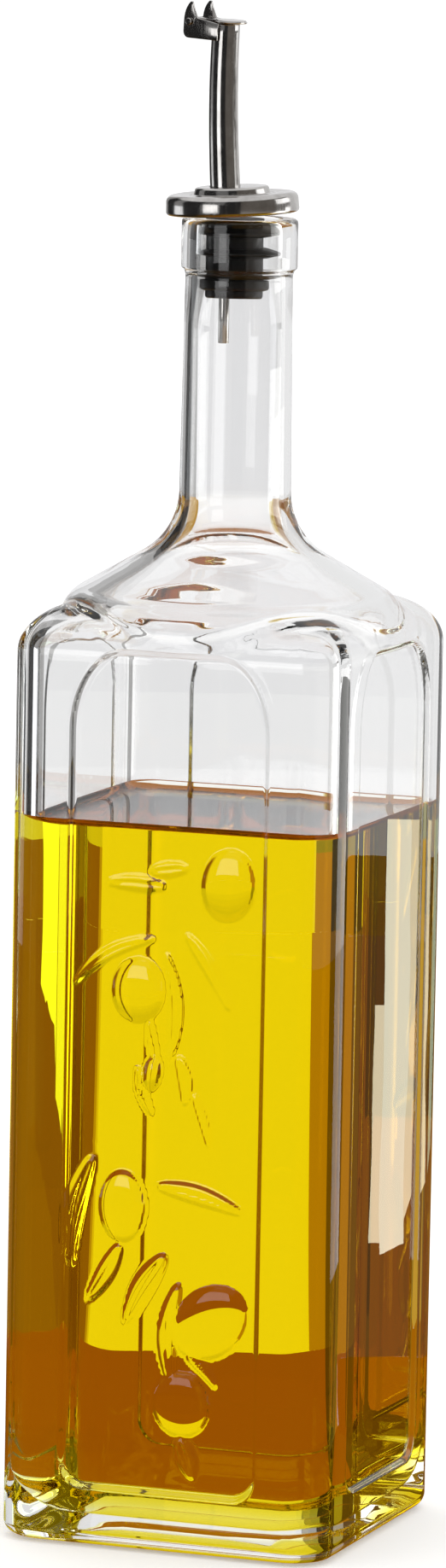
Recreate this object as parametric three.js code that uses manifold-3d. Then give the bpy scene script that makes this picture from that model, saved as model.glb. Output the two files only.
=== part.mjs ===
// An oil cruet: a square glass bottle with a round conical shoulder and a slim neck, filled
// with oil, and closed by a ribbed stopper that carries a steel pour spout with a hinged lid.
// Millimetres, +Z up. The origin is the centre of the base and the embossed face looks to -Y.
import * as THREE from 'three';
import { mergeVertices } from 'three/addons/utils/BufferGeometryUtils.js';
import Module from 'manifold-3d';

const wasm = await Module();
wasm.setup();

// Room kept between two pieces that touch
const GAP = 0.3;

// Bottle body
const BODY_HALF = 38.5;
const BODY_CORNER = 9;
const WALL = 4;
const INNER_CORNER = 5.5;
const HEEL_RADIUS = 3.3;
const FOOT_HALF = 28;
const FOOT_CORNER = 6;
const PUSH_UP = 1.4;
const FLOOR = 8;
const FLOOR_ROUND = 8;

// Tops of the corner columns: an elliptical round from the straight side inwards
const STRAIGHT_TOP = 196.5;
const DOME_RISE = 11;
const DOME_RUN = 14;

// Shoulder cone and the rounds that join it to the neck and the body
const SHOULDER_SLOPE = THREE.MathUtils.degToRad(30);
const CONE_GAUGE_RADIUS = 18;
const CONE_GAUGE_HEIGHT = 218.3;
const SHOULDER_WALL = 3.4;
const NECK_FILLET = 16;
const SHOULDER_ROUND = 10;
const INNER_SHOULDER_ROUND = 7;

// Neck and finish ring
const NECK_LOW_RADIUS = 12.3;
const NECK_TOP_RADIUS = 11.8;
const NECK_BORE = 10.2;
const NECK_TOP = 277.4;
const RING_RADIUS = 12.8;
const RING_BOTTOM = 279.6;
const GLASS_TOP = 290.6;
const MOUTH_BORE = 9.2;
const MOUTH_BORE_BOTTOM = 278;
const BORE_WIDENED = 266;

// Columns of the bottle's skin on each flat side and round each corner
const SIDE_COLUMNS = 6;
const CORNER_COLUMNS = 6;

// Arched panel on each side, sunk below the face with a sloping edge
const PANEL_HALF = 23;
const PANEL_TOP = 198.5;
const PANEL_BOTTOM = 13;
const PANEL_DEPTH = 1;
const PANEL_SLOPE_RUN = 0.9;
const PANEL_ARCH_RUN = 12;
const PANEL_ARCH_RISE = 18;
const PANEL_FOOT_ROUND = 6;

// Oil
const OIL_LEVEL = 158.7;

// Embossed olive branch, x and z on the front panel: leaves run from root to tip
const LEAF_HEIGHT = 1;
const LEAF_SECTION = [
  [-1, -0.3], [-0.62, 0.72], [-0.12, 0.9], [0, 0.62], [0.12, 0.9], [0.62, 0.72], [1, -0.3],
];
const OLIVE_HEIGHT = 1.5;
const STEM_RADIUS = 0.75;
const LEAVES = [
  { root: [0.5, 147.4], tip: [-15.4, 147.7], width: 5.6, bow: 0.4 },
  { root: [-4.6, 150.4], tip: [5.6, 152], width: 5, bow: 0.2 },
  { root: [-1.6, 136.4], tip: [-23, 123], width: 4, bow: 2.6 },
  { root: [3.7, 138.3], tip: [15.9, 119.3], width: 4.4, bow: 0.9 },
  { root: [-0.6, 134.2], tip: [0.5, 106.9], width: 4, bow: 2.9 },
  { root: [-3.8, 118.4], tip: [-1, 106.2], width: 2.8, bow: -0.5 },
  { root: [2.8, 111], tip: [4.7, 98.6], width: 5, bow: 1.2 },
  { root: [6.4, 103], tip: [10.7, 89.6], width: 3, bow: 0.8 },
  { root: [-6.4, 108], tip: [-2.4, 96.4], width: 3, bow: -0.9 },
  { root: [-15.9, 88], tip: [-21, 59.8], width: 6.4, bow: -2.2 },
  { root: [-2.3, 81.6], tip: [20.3, 76.2], width: 5.4, bow: 1.1 },
  { root: [-9.2, 68.6], tip: [-17.8, 53.9], width: 5.4, bow: 0.5 },
  { root: [1.4, 67], tip: [-8.8, 49], width: 6.2, bow: -0.9 },
  { root: [4.4, 61], tip: [3.4, 35.2], width: 5.6, bow: -2.2 },
  { root: [6.2, 44.6], tip: [13.5, 37.4], width: 3.2, bow: 0.9 },
  { root: [4.6, 26.4], tip: [8.4, 16.4], width: 5.6, bow: 0.2 },
];
const OLIVES = [
  { at: [14, 148.7], half: [6.2, 8], turn: 8 },
  { at: [-6.5, 124.4], half: [6.1, 7.2], turn: 4 },
  { at: [-2.8, 106.4], half: [2, 3.9], turn: 10 },
  { at: [-9.3, 76.4], half: [5.5, 8.1], turn: 0 },
  { at: [11.5, 52.1], half: [7.4, 9.7], turn: 50 },
  { at: [5.3, 33.5], half: [6.8, 7.3], turn: 0 },
];
const STEMS = [
  [[8.6, 149.4], [2.6, 143], [-1, 136], [-1, 131]],
  [[-16.3, 90.8], [-11.4, 85.8], [-9.6, 83]],
  [[-3.4, 82.2], [1.6, 71], [7, 61.6]],
];

// Directions of the pourer: it pours to POUR_YAW, and its cap leans down on the side away from it
const POUR_YAW = THREE.MathUtils.degToRad(-13.9);
const POUR_AXIS = new THREE.Vector3(Math.cos(POUR_YAW), Math.sin(POUR_YAW), 0);
const LEAN_AXIS = new THREE.Vector3(0.345, -0.938, 0).normalize();
const CAP_LEAN = THREE.MathUtils.degToRad(3);

// Stopper: a core that stands off the neck's axis, with fins that fill the bore
const STOPPER_TOP = 290.4;
const STOPPER_BOTTOM = 273.5;
const STOPPER_CORE = 6.4;
const STOPPER_SHIFT = -1.3;
const FIN_RADIUS = MOUTH_BORE - GAP;
const FIN_TIP = 0.7;
const FIN_ROOT = 1.6;
const FIN_LEVELS = [287.4, 283.1, 278.8];
const COLLAR_RADIUS = 7.7;
const COLLAR_BOTTOM = 275.3;
const COLLAR_TOP = 277.7;
const STOPPER_SIDES = 24;

// Cap disc
const CAP_RADIUS = 14.6;
const CAP_BASE = 291.5;
const CAP_SHIFT = -2;
const BOSS_RADIUS = 8.2;
const BOSS_TOP = 5.9;
const CAP_SIDES = 32;

// Pour spout: its centre line bows away from the side it pours to
const SPOUT_BOTTOM = 291.4;
const SPOUT_TOP = 332.7;
const SPOUT_SHIFT = -3.7;
const SPOUT_BOW = -1.3;
const SPOUT_BOW_SPAN = 55;
const SPOUT_LOW_RADIUS = 3.4;
const SPOUT_TOP_RADIUS = 3.05;
const SPOUT_WALL = 0.6;
const SPOUT_SIDES = 16;
const SPOUT_STEPS = 8;

// Air tube under the stopper
const AIR_RADIUS = 1.2;
const AIR_BORE = 0.7;
const AIR_BOTTOM = 262.9;
const AIR_SHIFT = -3.9;
const AIR_SIDES = 12;

// Hinge bracket, pin and lid, in a frame at the spout's mouth that leans with it
const MOUTH_LEAN = THREE.MathUtils.degToRad(3);
const BRACKET_INNER = 3.35;
const BRACKET_THICK = 0.55;
const BRACKET_END = -8.65;
const BRACKET_LOW = -3.6;
const BRACKET_HIGH = 0.9;
const BRACKET_CORNER = 1.4;
const EAR_FRONT = -5.7;
const EAR_TIP_X = -6.9;
const EAR_TIP_Z = 4.4;
const WEB_X = -3.95;
const WEB_THICK = 0.5;
const WEB_HIGH = -0.3;
const PIN_X = -7;
const PIN_Z = 0;
const PIN_RADIUS = 0.35;
const PIN_HEAD_RADIUS = 0.8;
const PIN_HEAD_THICK = 0.4;
const PIN_SIDES = 16;
const LID_RADIUS = 3.6;
const LID_THICK = 0.7;
const LID_X = 1.2;
const TONGUE_HALF = 2.2;
const BARREL_RADIUS = 1;
const BARREL_HALF = 2.9;

// A closed skin through rings of points. Rings have equal counts, or one point at a pole.
// They run anticlockwise seen from the last ring, so that the faces look outwards.
function skin(rings, joinsEnds = false) {
  const positions = [];
  const starts = [];
  for (const ring of rings) {
    starts.push(positions.length / 3);
    for (const point of ring) positions.push(point.x, point.y, point.z);
  }
  const triangles = [];
  const spans = joinsEnds ? rings.length : rings.length - 1;
  for (let i = 0; i < spans; i += 1) {
    const next = (i + 1) % rings.length;
    const low = rings[i].length === 1 ? null : starts[i];
    const high = rings[next].length === 1 ? null : starts[next];
    const count = Math.max(rings[i].length, rings[next].length);
    for (let j = 0; j < count; j += 1) {
      const k = (j + 1) % count;
      if (low === null) {
        triangles.push(starts[i], high + k, high + j);
      } else if (high === null) {
        triangles.push(low + j, low + k, starts[next]);
      } else {
        triangles.push(low + j, low + k, high + k, low + j, high + k, high + j);
      }
    }
  }
  const geometry = new THREE.BufferGeometry();
  geometry.setAttribute('position', new THREE.Float32BufferAttribute(positions, 3));
  geometry.setIndex(triangles);
  return geometry;
}

function toSolid(geometry) {
  const bare = geometry.clone();
  bare.deleteAttribute('normal');
  bare.deleteAttribute('uv');
  const merged = mergeVertices(bare, 1e-4);
  return new wasm.Manifold(new wasm.Mesh({
    numProp: 3,
    vertProperties: new Float32Array(merged.attributes.position.array),
    triVerts: new Uint32Array(merged.index.array),
  }));
}

function toGeometry(solid) {
  const mesh = solid.getMesh();
  const geometry = new THREE.BufferGeometry();
  geometry.setAttribute('position', new THREE.Float32BufferAttribute(mesh.vertProperties, 3));
  geometry.setIndex(Array.from(mesh.triVerts));
  geometry.computeVertexNormals();
  return geometry;
}

function joined(geometries) {
  return geometries.map(toSolid).reduce((whole, piece) => whole.add(piece));
}

// A turned piece from (radius, height) pairs that start and end on the axis or meet again
function turned(profile, sides) {
  const points = profile.map(([radius, height]) => new THREE.Vector2(radius, height));
  return new THREE.LatheGeometry(points, sides).rotateX(Math.PI / 2);
}

// Distance from the axis to a rounded square, along the direction of an angle
function squareRadius(angle, half, corner) {
  const quarter = Math.PI / 2;
  const within = Math.abs(angle - Math.round(angle / quarter) * quarter);
  const centre = half - corner;
  if (Math.tan(within) * half <= centre) return half / Math.cos(within);
  const along = centre * (Math.cos(within) + Math.sin(within));
  return along + Math.sqrt(along * along - 2 * centre * centre + corner * corner);
}

// Angles of the skin's columns: even on the flat sides, and even along each corner's arc
function columnAngles() {
  const angles = [];
  const centre = BODY_HALF - BODY_CORNER;
  const sideEnd = Math.atan(centre / BODY_HALF);
  for (let side = 0; side < 4; side += 1) {
    const facing = side * Math.PI / 2;
    for (let i = 0; i < SIDE_COLUMNS; i += 1) {
      angles.push(facing - sideEnd + 2 * sideEnd * i / SIDE_COLUMNS);
    }
    for (let i = 0; i < CORNER_COLUMNS; i += 1) {
      const turn = Math.PI / 2 * i / CORNER_COLUMNS;
      const x = centre + BODY_CORNER * Math.cos(turn);
      const y = centre + BODY_CORNER * Math.sin(turn);
      angles.push(facing + Math.atan2(y, x));
    }
  }
  return angles;
}
const COLUMNS = columnAngles();

function ringOf(radiusAt, height) {
  return COLUMNS.map((angle) => {
    const radius = radiusAt(angle);
    return new THREE.Vector3(radius * Math.cos(angle), radius * Math.sin(angle), height);
  });
}

function squareRing(half, corner, height) {
  return ringOf((angle) => squareRadius(angle, half, corner), height);
}

function pole(height) {
  return [new THREE.Vector3(0, 0, height)];
}

// Radius of the round shoulder at a height: neck, concave fillet, cone, convex round, body
function shoulderProfile({ neck, fillet, gauge, round, half }) {
  const rise = Math.tan(SHOULDER_SLOPE);
  const filletEnd = neck + fillet * (1 - Math.sin(SHOULDER_SLOPE));
  const coneHeight = (radius) => gauge - (radius - CONE_GAUGE_RADIUS) * rise;
  const filletTop = coneHeight(filletEnd) + fillet * Math.cos(SHOULDER_SLOPE);
  const roundStart = half - round + round * Math.sin(SHOULDER_SLOPE);
  const roundCentre = coneHeight(roundStart) - round * Math.cos(SHOULDER_SLOPE);
  const radiusAt = (height) => {
    if (height >= filletTop) return neck;
    if (height >= coneHeight(filletEnd)) {
      const drop = filletTop - height;
      return neck + fillet - Math.sqrt(fillet * fillet - drop * drop);
    }
    if (height >= coneHeight(roundStart)) return CONE_GAUGE_RADIUS + (gauge - height) / rise;
    const climb = Math.max(height - roundCentre, 0);
    return half - round + Math.sqrt(round * round - climb * climb);
  };
  return { radiusAt, filletTop, filletLow: coneHeight(filletEnd), roundTop: coneHeight(roundStart) };
}

const OUTER = shoulderProfile({
  neck: NECK_LOW_RADIUS,
  fillet: NECK_FILLET,
  gauge: CONE_GAUGE_HEIGHT,
  round: SHOULDER_ROUND,
  half: BODY_HALF,
});
const INNER = shoulderProfile({
  neck: NECK_BORE,
  fillet: NECK_FILLET + NECK_LOW_RADIUS - NECK_BORE,
  gauge: CONE_GAUGE_HEIGHT - SHOULDER_WALL,
  round: INNER_SHOULDER_ROUND,
  half: BODY_HALF - WALL,
});

// Heights between two levels, the first left out
function levels(from, to, count) {
  return Array.from({ length: count }, (unused, i) => from + (to - from) * (i + 1) / count);
}

// The square body under its corner domes, joined with the round shoulder
function shoulderRing(height, profile, half, corner, straightTop, rise, run) {
  const climb = Math.max(height - straightTop, 0) / rise;
  const shoulder = profile.radiusAt(height);
  if (climb > 1) return ringOf(() => shoulder, height);
  const narrowed = half - run + run * Math.sqrt(1 - climb * climb);
  return ringOf((angle) => Math.max(shoulder, squareRadius(angle, narrowed, corner)), height);
}

function outerRings() {
  const rings = [pole(PUSH_UP), squareRing(FOOT_HALF - 2, FOOT_CORNER, PUSH_UP - 0.2)];
  rings.push(squareRing(FOOT_HALF, FOOT_CORNER, 0));
  for (const turn of [0, 30, 60, 90].map(THREE.MathUtils.degToRad)) {
    const inset = HEEL_RADIUS * (1 - Math.sin(turn));
    const height = HEEL_RADIUS * (1 - Math.cos(turn));
    rings.push(squareRing(BODY_HALF - inset, BODY_CORNER - inset / 2, height));
  }
  const domeTop = STRAIGHT_TOP + DOME_RISE;
  const heights = [STRAIGHT_TOP];
  heights.push(...levels(STRAIGHT_TOP, domeTop, 9));
  heights.push(...levels(domeTop, OUTER.roundTop, 1));
  heights.push(...levels(OUTER.roundTop, OUTER.filletLow, 3));
  heights.push(...levels(OUTER.filletLow, OUTER.filletTop, 5));
  for (const height of heights) {
    rings.push(shoulderRing(height, OUTER, BODY_HALF, BODY_CORNER, STRAIGHT_TOP, DOME_RISE, DOME_RUN));
  }
  const finish = [
    [NECK_TOP_RADIUS, NECK_TOP],
    [NECK_TOP_RADIUS + 0.2, RING_BOTTOM - 0.9],
    [RING_RADIUS, RING_BOTTOM],
    [RING_RADIUS, GLASS_TOP - 1],
    [RING_RADIUS - 0.3, GLASS_TOP - 0.3],
    [RING_RADIUS - 1, GLASS_TOP],
  ];
  return rings.concat(finish.map(([radius, height]) => ringOf(() => radius, height)));
}

function innerFloorRings(half, corner, floor, count) {
  return [90, 60, 30, 0].slice(4 - count).map((degrees) => {
    const turn = THREE.MathUtils.degToRad(degrees);
    const inset = FLOOR_ROUND * (1 - Math.sin(turn));
    const height = floor + FLOOR_ROUND * (1 - Math.cos(turn));
    return squareRing(half - inset, corner - inset / 4, height);
  });
}

// Rings of the cavity from the mouth down to the floor
function innerRings() {
  const bore = [
    [MOUTH_BORE + 0.4, GLASS_TOP],
    [MOUTH_BORE, GLASS_TOP - 0.5],
    [MOUTH_BORE, MOUTH_BORE_BOTTOM],
    [NECK_BORE, BORE_WIDENED],
  ];
  const half = BODY_HALF - WALL;
  const straightTop = STRAIGHT_TOP - SHOULDER_WALL;
  const rise = DOME_RISE - 1;
  const heights = [INNER.filletTop];
  heights.push(...levels(INNER.filletTop, INNER.filletLow, 4));
  heights.push(...levels(INNER.filletLow, straightTop + rise, 4));
  heights.push(...levels(straightTop + rise, straightTop, 6));
  const rings = bore.map(([radius, height]) => ringOf(() => radius, height));
  for (const height of heights) {
    rings.push(shoulderRing(height, INNER, half, INNER_CORNER, straightTop, rise, DOME_RUN - 2));
  }
  return rings.concat(innerFloorRings(half, INNER_CORNER, FLOOR, 4), [pole(FLOOR)]);
}

// Outline of the arched panel, grown by a margin, as points on a side at a distance y
function archRing(margin, y) {
  const half = PANEL_HALF + margin;
  const quarter = (centreX, centreZ, runX, runZ, from) => levels(from, from + 90, 6)
    .map(THREE.MathUtils.degToRad)
    .map((turn) => [centreX + runX * Math.cos(turn), centreZ + runZ * Math.sin(turn)]);
  const run = PANEL_ARCH_RUN;
  const rise = PANEL_ARCH_RISE;
  const foot = PANEL_FOOT_ROUND;
  const top = PANEL_TOP + margin - rise;
  const bottom = PANEL_BOTTOM - margin + foot;
  const outline = [
    ...quarter(half - run, top, run, rise, 0),
    ...quarter(run - half, top, run, rise, 90),
    ...quarter(foot - half, bottom, foot, foot, 180),
    ...quarter(half - foot, bottom, foot, foot, 270),
  ];
  return outline.map(([x, z]) => new THREE.Vector3(x, y, z));
}

// The sloping-edged block that sinks the arched panel into the front face
function panelCutter() {
  const middle = (PANEL_TOP + PANEL_BOTTOM) / 2;
  const floorY = PANEL_DEPTH - BODY_HALF;
  const outside = -BODY_HALF - 1;
  return skin([
    [new THREE.Vector3(0, floorY, middle)],
    archRing(-PANEL_SLOPE_RUN, floorY),
    archRing(PANEL_SLOPE_RUN / PANEL_DEPTH, outside),
    [new THREE.Vector3(0, outside, middle)],
  ]);
}

// A leaf that lies on the panel: lens-shaped, low at its edges, with a groove for its midrib
function leaf({ root, tip, width, bow }) {
  const floorY = PANEL_DEPTH - BODY_HALF;
  const start = new THREE.Vector2(...root);
  const along = new THREE.Vector2(...tip).sub(start);
  const across = new THREE.Vector2(-along.y, along.x).normalize();
  if (across.x + across.y < 0) across.negate();
  const handed = along.x * across.y - along.y * across.x > 0 ? -1 : 1;
  const section = LEAF_SECTION;
  const ends = (share) => start.clone().addScaledVector(along, share);
  const point = (at, height) => new THREE.Vector3(at.x, floorY - height, at.y);
  const rings = [[point(ends(0), -0.05)]];
  for (const share of levels(0, 1, 7).slice(0, 6)) {
    const half = width / 2 * Math.sin(Math.PI * share ** 0.85) ** 0.8;
    const middle = ends(share).addScaledVector(across, bow * Math.sin(Math.PI * share));
    rings.push(section.map(([side, lift]) => {
      const at = middle.clone().addScaledVector(across, handed * side * half);
      return point(at, lift > 0 ? lift * LEAF_HEIGHT : lift);
    }));
  }
  rings.push([point(ends(1), -0.05)]);
  return skin(rings);
}

function olive({ at, half, turn }) {
  const body = new THREE.SphereGeometry(1, 16, 10);
  body.scale(half[0], OLIVE_HEIGHT, half[1]);
  body.rotateY(THREE.MathUtils.degToRad(turn));
  return body.translate(at[0], PANEL_DEPTH - BODY_HALF, at[1]);
}

function stem(points) {
  const floorY = PANEL_DEPTH - BODY_HALF;
  const path = new THREE.CatmullRomCurve3(points.map(([x, z]) => new THREE.Vector3(x, floorY, z)));
  const section = new THREE.Shape().absarc(0, 0, STEM_RADIUS, 0, Math.PI * 2);
  return new THREE.ExtrudeGeometry(section, { extrudePath: path, steps: 6, curveSegments: 3 });
}

function bottleGlass() {
  let solid = toSolid(skin(outerRings().concat(innerRings())));
  for (let side = 0; side < 4; side += 1) {
    solid = solid.subtract(toSolid(panelCutter().rotateZ(side * Math.PI / 2)));
  }
  const relief = [...LEAVES.map(leaf), ...OLIVES.map(olive), ...STEMS.map(stem)];
  return toGeometry(solid.add(joined(relief)));
}

function oil() {
  const half = BODY_HALF - WALL - GAP;
  const corner = INNER_CORNER - GAP;
  const top = [pole(OIL_LEVEL), squareRing(half, corner, OIL_LEVEL)];
  const floor = innerFloorRings(half, corner, FLOOR + GAP, 4);
  return skin([...top, ...floor, pole(FLOOR + GAP)].reverse());
}

// A fin round the stopper, thin at its rim
function fin(level) {
  return turned([
    [0, level - FIN_ROOT / 2],
    [STOPPER_CORE, level - FIN_ROOT / 2],
    [FIN_RADIUS, level - FIN_TIP / 2],
    [FIN_RADIUS, level + FIN_TIP / 2],
    [STOPPER_CORE, level + FIN_ROOT / 2],
    [0, level + FIN_ROOT / 2],
  ], STOPPER_SIDES);
}

function stopper() {
  const core = turned([
    [0, STOPPER_BOTTOM],
    [STOPPER_CORE - 0.5, STOPPER_BOTTOM],
    [STOPPER_CORE, STOPPER_BOTTOM + 0.5],
    [STOPPER_CORE, COLLAR_BOTTOM],
    [COLLAR_RADIUS, COLLAR_BOTTOM + 0.3],
    [COLLAR_RADIUS, COLLAR_TOP - 0.3],
    [STOPPER_CORE, COLLAR_TOP],
    [STOPPER_CORE, STOPPER_TOP],
    [0, STOPPER_TOP],
  ], STOPPER_SIDES);
  core.translate(POUR_AXIS.x * STOPPER_SHIFT, POUR_AXIS.y * STOPPER_SHIFT, 0);
  return toGeometry(joined([core, ...FIN_LEVELS.map(fin)]));
}

// The spout's centre at a height
function spoutCentre(height) {
  const bow = SPOUT_BOW * Math.sin(Math.PI * (height - SPOUT_BOTTOM) / SPOUT_BOW_SPAN);
  const centre = POUR_AXIS.clone().multiplyScalar(SPOUT_SHIFT + bow);
  return centre.setZ(height);
}

function spoutRing(height, shrink) {
  const share = (height - SPOUT_BOTTOM) / (SPOUT_TOP - SPOUT_BOTTOM);
  const radius = THREE.MathUtils.lerp(SPOUT_LOW_RADIUS, SPOUT_TOP_RADIUS, share) - shrink;
  const centre = spoutCentre(height);
  return Array.from({ length: SPOUT_SIDES }, (unused, i) => {
    const angle = 2 * Math.PI * i / SPOUT_SIDES;
    return new THREE.Vector3(Math.cos(angle), Math.sin(angle), 0).multiplyScalar(radius).add(centre);
  });
}

function pourSpout() {
  const heights = [SPOUT_BOTTOM, ...levels(SPOUT_BOTTOM, SPOUT_TOP, SPOUT_STEPS)];
  const outside = heights.map((height) => spoutRing(height, 0));
  const inside = heights.map((height) => spoutRing(height, SPOUT_WALL)).reverse();
  return skin([...outside, ...inside], true);
}

// Disc with a rolled rim and a low boss, pierced for the spout
function capDisc() {
  const disc = turned([
    [0, 0.5],
    [11.2, 0.5],
    [12.4, 0],
    [13.9, -0.1],
    [CAP_RADIUS, 0.5],
    [CAP_RADIUS - 0.1, 2.4],
    [14.1, 3.5],
    [13.2, 4.3],
    [12.2, 4.5],
    [BOSS_RADIUS + 1.2, 4.1],
    [BOSS_RADIUS + 0.3, 4.4],
    [BOSS_RADIUS, BOSS_TOP - 0.6],
    [BOSS_RADIUS - 0.5, BOSS_TOP],
    [0, BOSS_TOP],
  ], CAP_SIDES);
  disc.applyMatrix4(new THREE.Matrix4().makeRotationAxis(LEAN_AXIS, CAP_LEAN));
  disc.translate(POUR_AXIS.x * CAP_SHIFT, POUR_AXIS.y * CAP_SHIFT, CAP_BASE);
  const hole = skin([
    [spoutCentre(SPOUT_BOTTOM - 3)],
    ...levels(SPOUT_BOTTOM - 3, SPOUT_BOTTOM + 10, 4).map((height) => spoutRing(height, -GAP)),
    [spoutCentre(SPOUT_BOTTOM + 10)],
  ]);
  return toGeometry(toSolid(disc).subtract(toSolid(hole)));
}

function airTube() {
  const top = STOPPER_BOTTOM - GAP;
  return turned([
    [AIR_BORE, AIR_BOTTOM],
    [AIR_RADIUS, AIR_BOTTOM],
    [AIR_RADIUS, top],
    [AIR_BORE, top],
    [AIR_BORE, AIR_BOTTOM],
  ], AIR_SIDES);
}

function box(lowX, highX, halfY, lowZ, highZ) {
  const block = new THREE.BoxGeometry(highX - lowX, 2 * halfY, highZ - lowZ);
  return block.translate((lowX + highX) / 2, 0, (lowZ + highZ) / 2);
}

function crossRod(radius, halfLength) {
  const rod = new THREE.CylinderGeometry(radius, radius, 2 * halfLength, PIN_SIDES);
  return rod.translate(PIN_X, 0, PIN_Z);
}

// One side plate of the bracket, with a round lower corner and a pointed ear
function bracketPlate(innerY) {
  const outline = new THREE.Shape();
  const round = BRACKET_CORNER;
  outline.moveTo(0.4, BRACKET_LOW);
  outline.lineTo(0.4, BRACKET_HIGH - 0.8);
  outline.lineTo(EAR_FRONT + 0.6, BRACKET_HIGH);
  outline.quadraticCurveTo(EAR_FRONT - 0.4, BRACKET_HIGH + 1.6, EAR_TIP_X + 0.3, EAR_TIP_Z);
  outline.lineTo(EAR_TIP_X - 0.2, EAR_TIP_Z);
  outline.quadraticCurveTo(BRACKET_END, BRACKET_HIGH + 2, BRACKET_END, 0);
  outline.lineTo(BRACKET_END, BRACKET_LOW + round);
  outline.absarc(BRACKET_END + round, BRACKET_LOW + round, round, Math.PI, 1.5 * Math.PI, false);
  const plate = new THREE.ExtrudeGeometry(outline, {
    depth: BRACKET_THICK,
    bevelEnabled: false,
    curveSegments: 5,
  });
  return plate.rotateX(Math.PI / 2).translate(0, innerY + BRACKET_THICK, 0);
}

function hingeBracket() {
  const web = box(WEB_X - WEB_THICK / 2, WEB_X + WEB_THICK / 2, BRACKET_INNER + 0.2, BRACKET_LOW, WEB_HIGH);
  const plates = [bracketPlate(BRACKET_INNER), bracketPlate(-BRACKET_INNER - BRACKET_THICK)];
  const eye = toSolid(crossRod(PIN_RADIUS + GAP, 2 * BRACKET_INNER));
  return toGeometry(joined([web, ...plates]).subtract(eye));
}

function hingePin() {
  const reach = BRACKET_INNER + BRACKET_THICK + GAP;
  const shaft = crossRod(PIN_RADIUS, reach + PIN_HEAD_THICK);
  const heads = [-1, 1].map((side) => crossRod(PIN_HEAD_RADIUS, PIN_HEAD_THICK / 2)
    .translate(0, side * (reach + PIN_HEAD_THICK / 2), 0));
  return toGeometry(joined([shaft, ...heads]));
}

// Lid disc, its tongue and the barrel round the pin
function flapLid() {
  const low = GAP;
  const high = low + LID_THICK;
  const disc = new THREE.CylinderGeometry(LID_RADIUS - 0.25, LID_RADIUS, LID_THICK, 28);
  disc.rotateX(Math.PI / 2).translate(LID_X, 0, (low + high) / 2);
  const tongue = box(PIN_X, LID_X, TONGUE_HALF, low + 0.05, high - 0.1);
  const barrel = crossRod(BARREL_RADIUS, BARREL_HALF);
  const eye = toSolid(crossRod(PIN_RADIUS + GAP, 2 * BARREL_HALF));
  return toGeometry(joined([disc, tongue, barrel]).subtract(eye));
}

const glassMaterial = new THREE.MeshStandardMaterial({
  color: 0xe4ecec,
  roughness: 0.03,
  metalness: 0,
  transparent: true,
  opacity: 0.35,
});
const oilMaterial = new THREE.MeshStandardMaterial({ color: 0xdcc008, roughness: 0.05, metalness: 0 });
const rubberMaterial = new THREE.MeshStandardMaterial({ color: 0x202122, roughness: 0.5, metalness: 0 });
const steelMaterial = new THREE.MeshStandardMaterial({ color: 0xb4aeaa, roughness: 0.2, metalness: 1 });

function addMesh(parent, name, geometry, material) {
  const mesh = new THREE.Mesh(geometry, material);
  mesh.name = name;
  parent.add(mesh);
  return mesh;
}

const group = new THREE.Group();
addMesh(group, 'bottle_glass', bottleGlass(), glassMaterial);
addMesh(group, 'oil', oil(), oilMaterial);
addMesh(group, 'stopper', stopper(), rubberMaterial);
addMesh(group, 'cap_disc', capDisc(), steelMaterial);
addMesh(group, 'pour_spout', pourSpout(), steelMaterial);
const air = addMesh(group, 'air_tube', airTube(), steelMaterial);
air.position.copy(POUR_AXIS).multiplyScalar(AIR_SHIFT);

// The hinge's frame: at the spout's mouth, +X to the side it pours to, leaning with the spout
const mouth = new THREE.Group();
mouth.position.copy(spoutCentre(SPOUT_TOP));
mouth.rotation.z = POUR_YAW;
const leaning = new THREE.Group();
leaning.rotation.y = MOUTH_LEAN;
mouth.add(leaning);
group.add(mouth);
addMesh(leaning, 'hinge_bracket', hingeBracket(), steelMaterial);
addMesh(leaning, 'hinge_pin', hingePin(), steelMaterial);
addMesh(leaning, 'flap_lid', flapLid(), steelMaterial);

export default group;
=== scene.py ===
"""An oil cruet, dressed for its picture: clear pressed glass, golden oil and a steel pourer.

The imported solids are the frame. Each piece here stands for one of them at the same place, with its
rounds, embossing, meniscus and finish. Sizes in the classes are in millimetres, heights are above
the foot, and the embossed face looks to -Y.
"""

import logging
import math
from dataclasses import dataclass, field
from enum import Enum
from typing import Iterable, Sequence

import bpy
import numpy as np
from mathutils import Matrix, Vector


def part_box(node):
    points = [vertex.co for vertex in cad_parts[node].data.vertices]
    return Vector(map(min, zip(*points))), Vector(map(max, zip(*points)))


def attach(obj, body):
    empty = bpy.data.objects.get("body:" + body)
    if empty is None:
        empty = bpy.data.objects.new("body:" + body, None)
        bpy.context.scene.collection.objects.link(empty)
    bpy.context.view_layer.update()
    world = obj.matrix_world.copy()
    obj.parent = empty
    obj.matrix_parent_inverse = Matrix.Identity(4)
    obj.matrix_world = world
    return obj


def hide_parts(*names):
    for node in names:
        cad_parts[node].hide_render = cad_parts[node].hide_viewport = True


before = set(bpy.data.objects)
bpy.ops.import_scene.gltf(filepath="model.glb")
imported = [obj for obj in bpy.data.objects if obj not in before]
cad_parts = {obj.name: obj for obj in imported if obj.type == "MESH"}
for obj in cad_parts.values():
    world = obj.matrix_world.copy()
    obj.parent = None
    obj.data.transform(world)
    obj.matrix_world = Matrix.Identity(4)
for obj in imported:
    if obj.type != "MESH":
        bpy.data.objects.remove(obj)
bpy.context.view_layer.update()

MM = 0.001
WETTED = "wetted"
PHOTO_HEIGHT = 1837

log = logging.getLogger("oil_cruet")

Pair = tuple[float, float]
Colour = tuple[float, float, float]


class Slot(Enum):
    """The record's material slots."""

    GLASS = "clear_glass"
    OIL = "golden_oil"
    RUBBER = "black_rubber"
    STEEL = "polished_steel"


class Body(Enum):
    """The bodies that pieces ride on."""

    BOTTLE = "bottle"
    FLAP = "flap"


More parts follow.
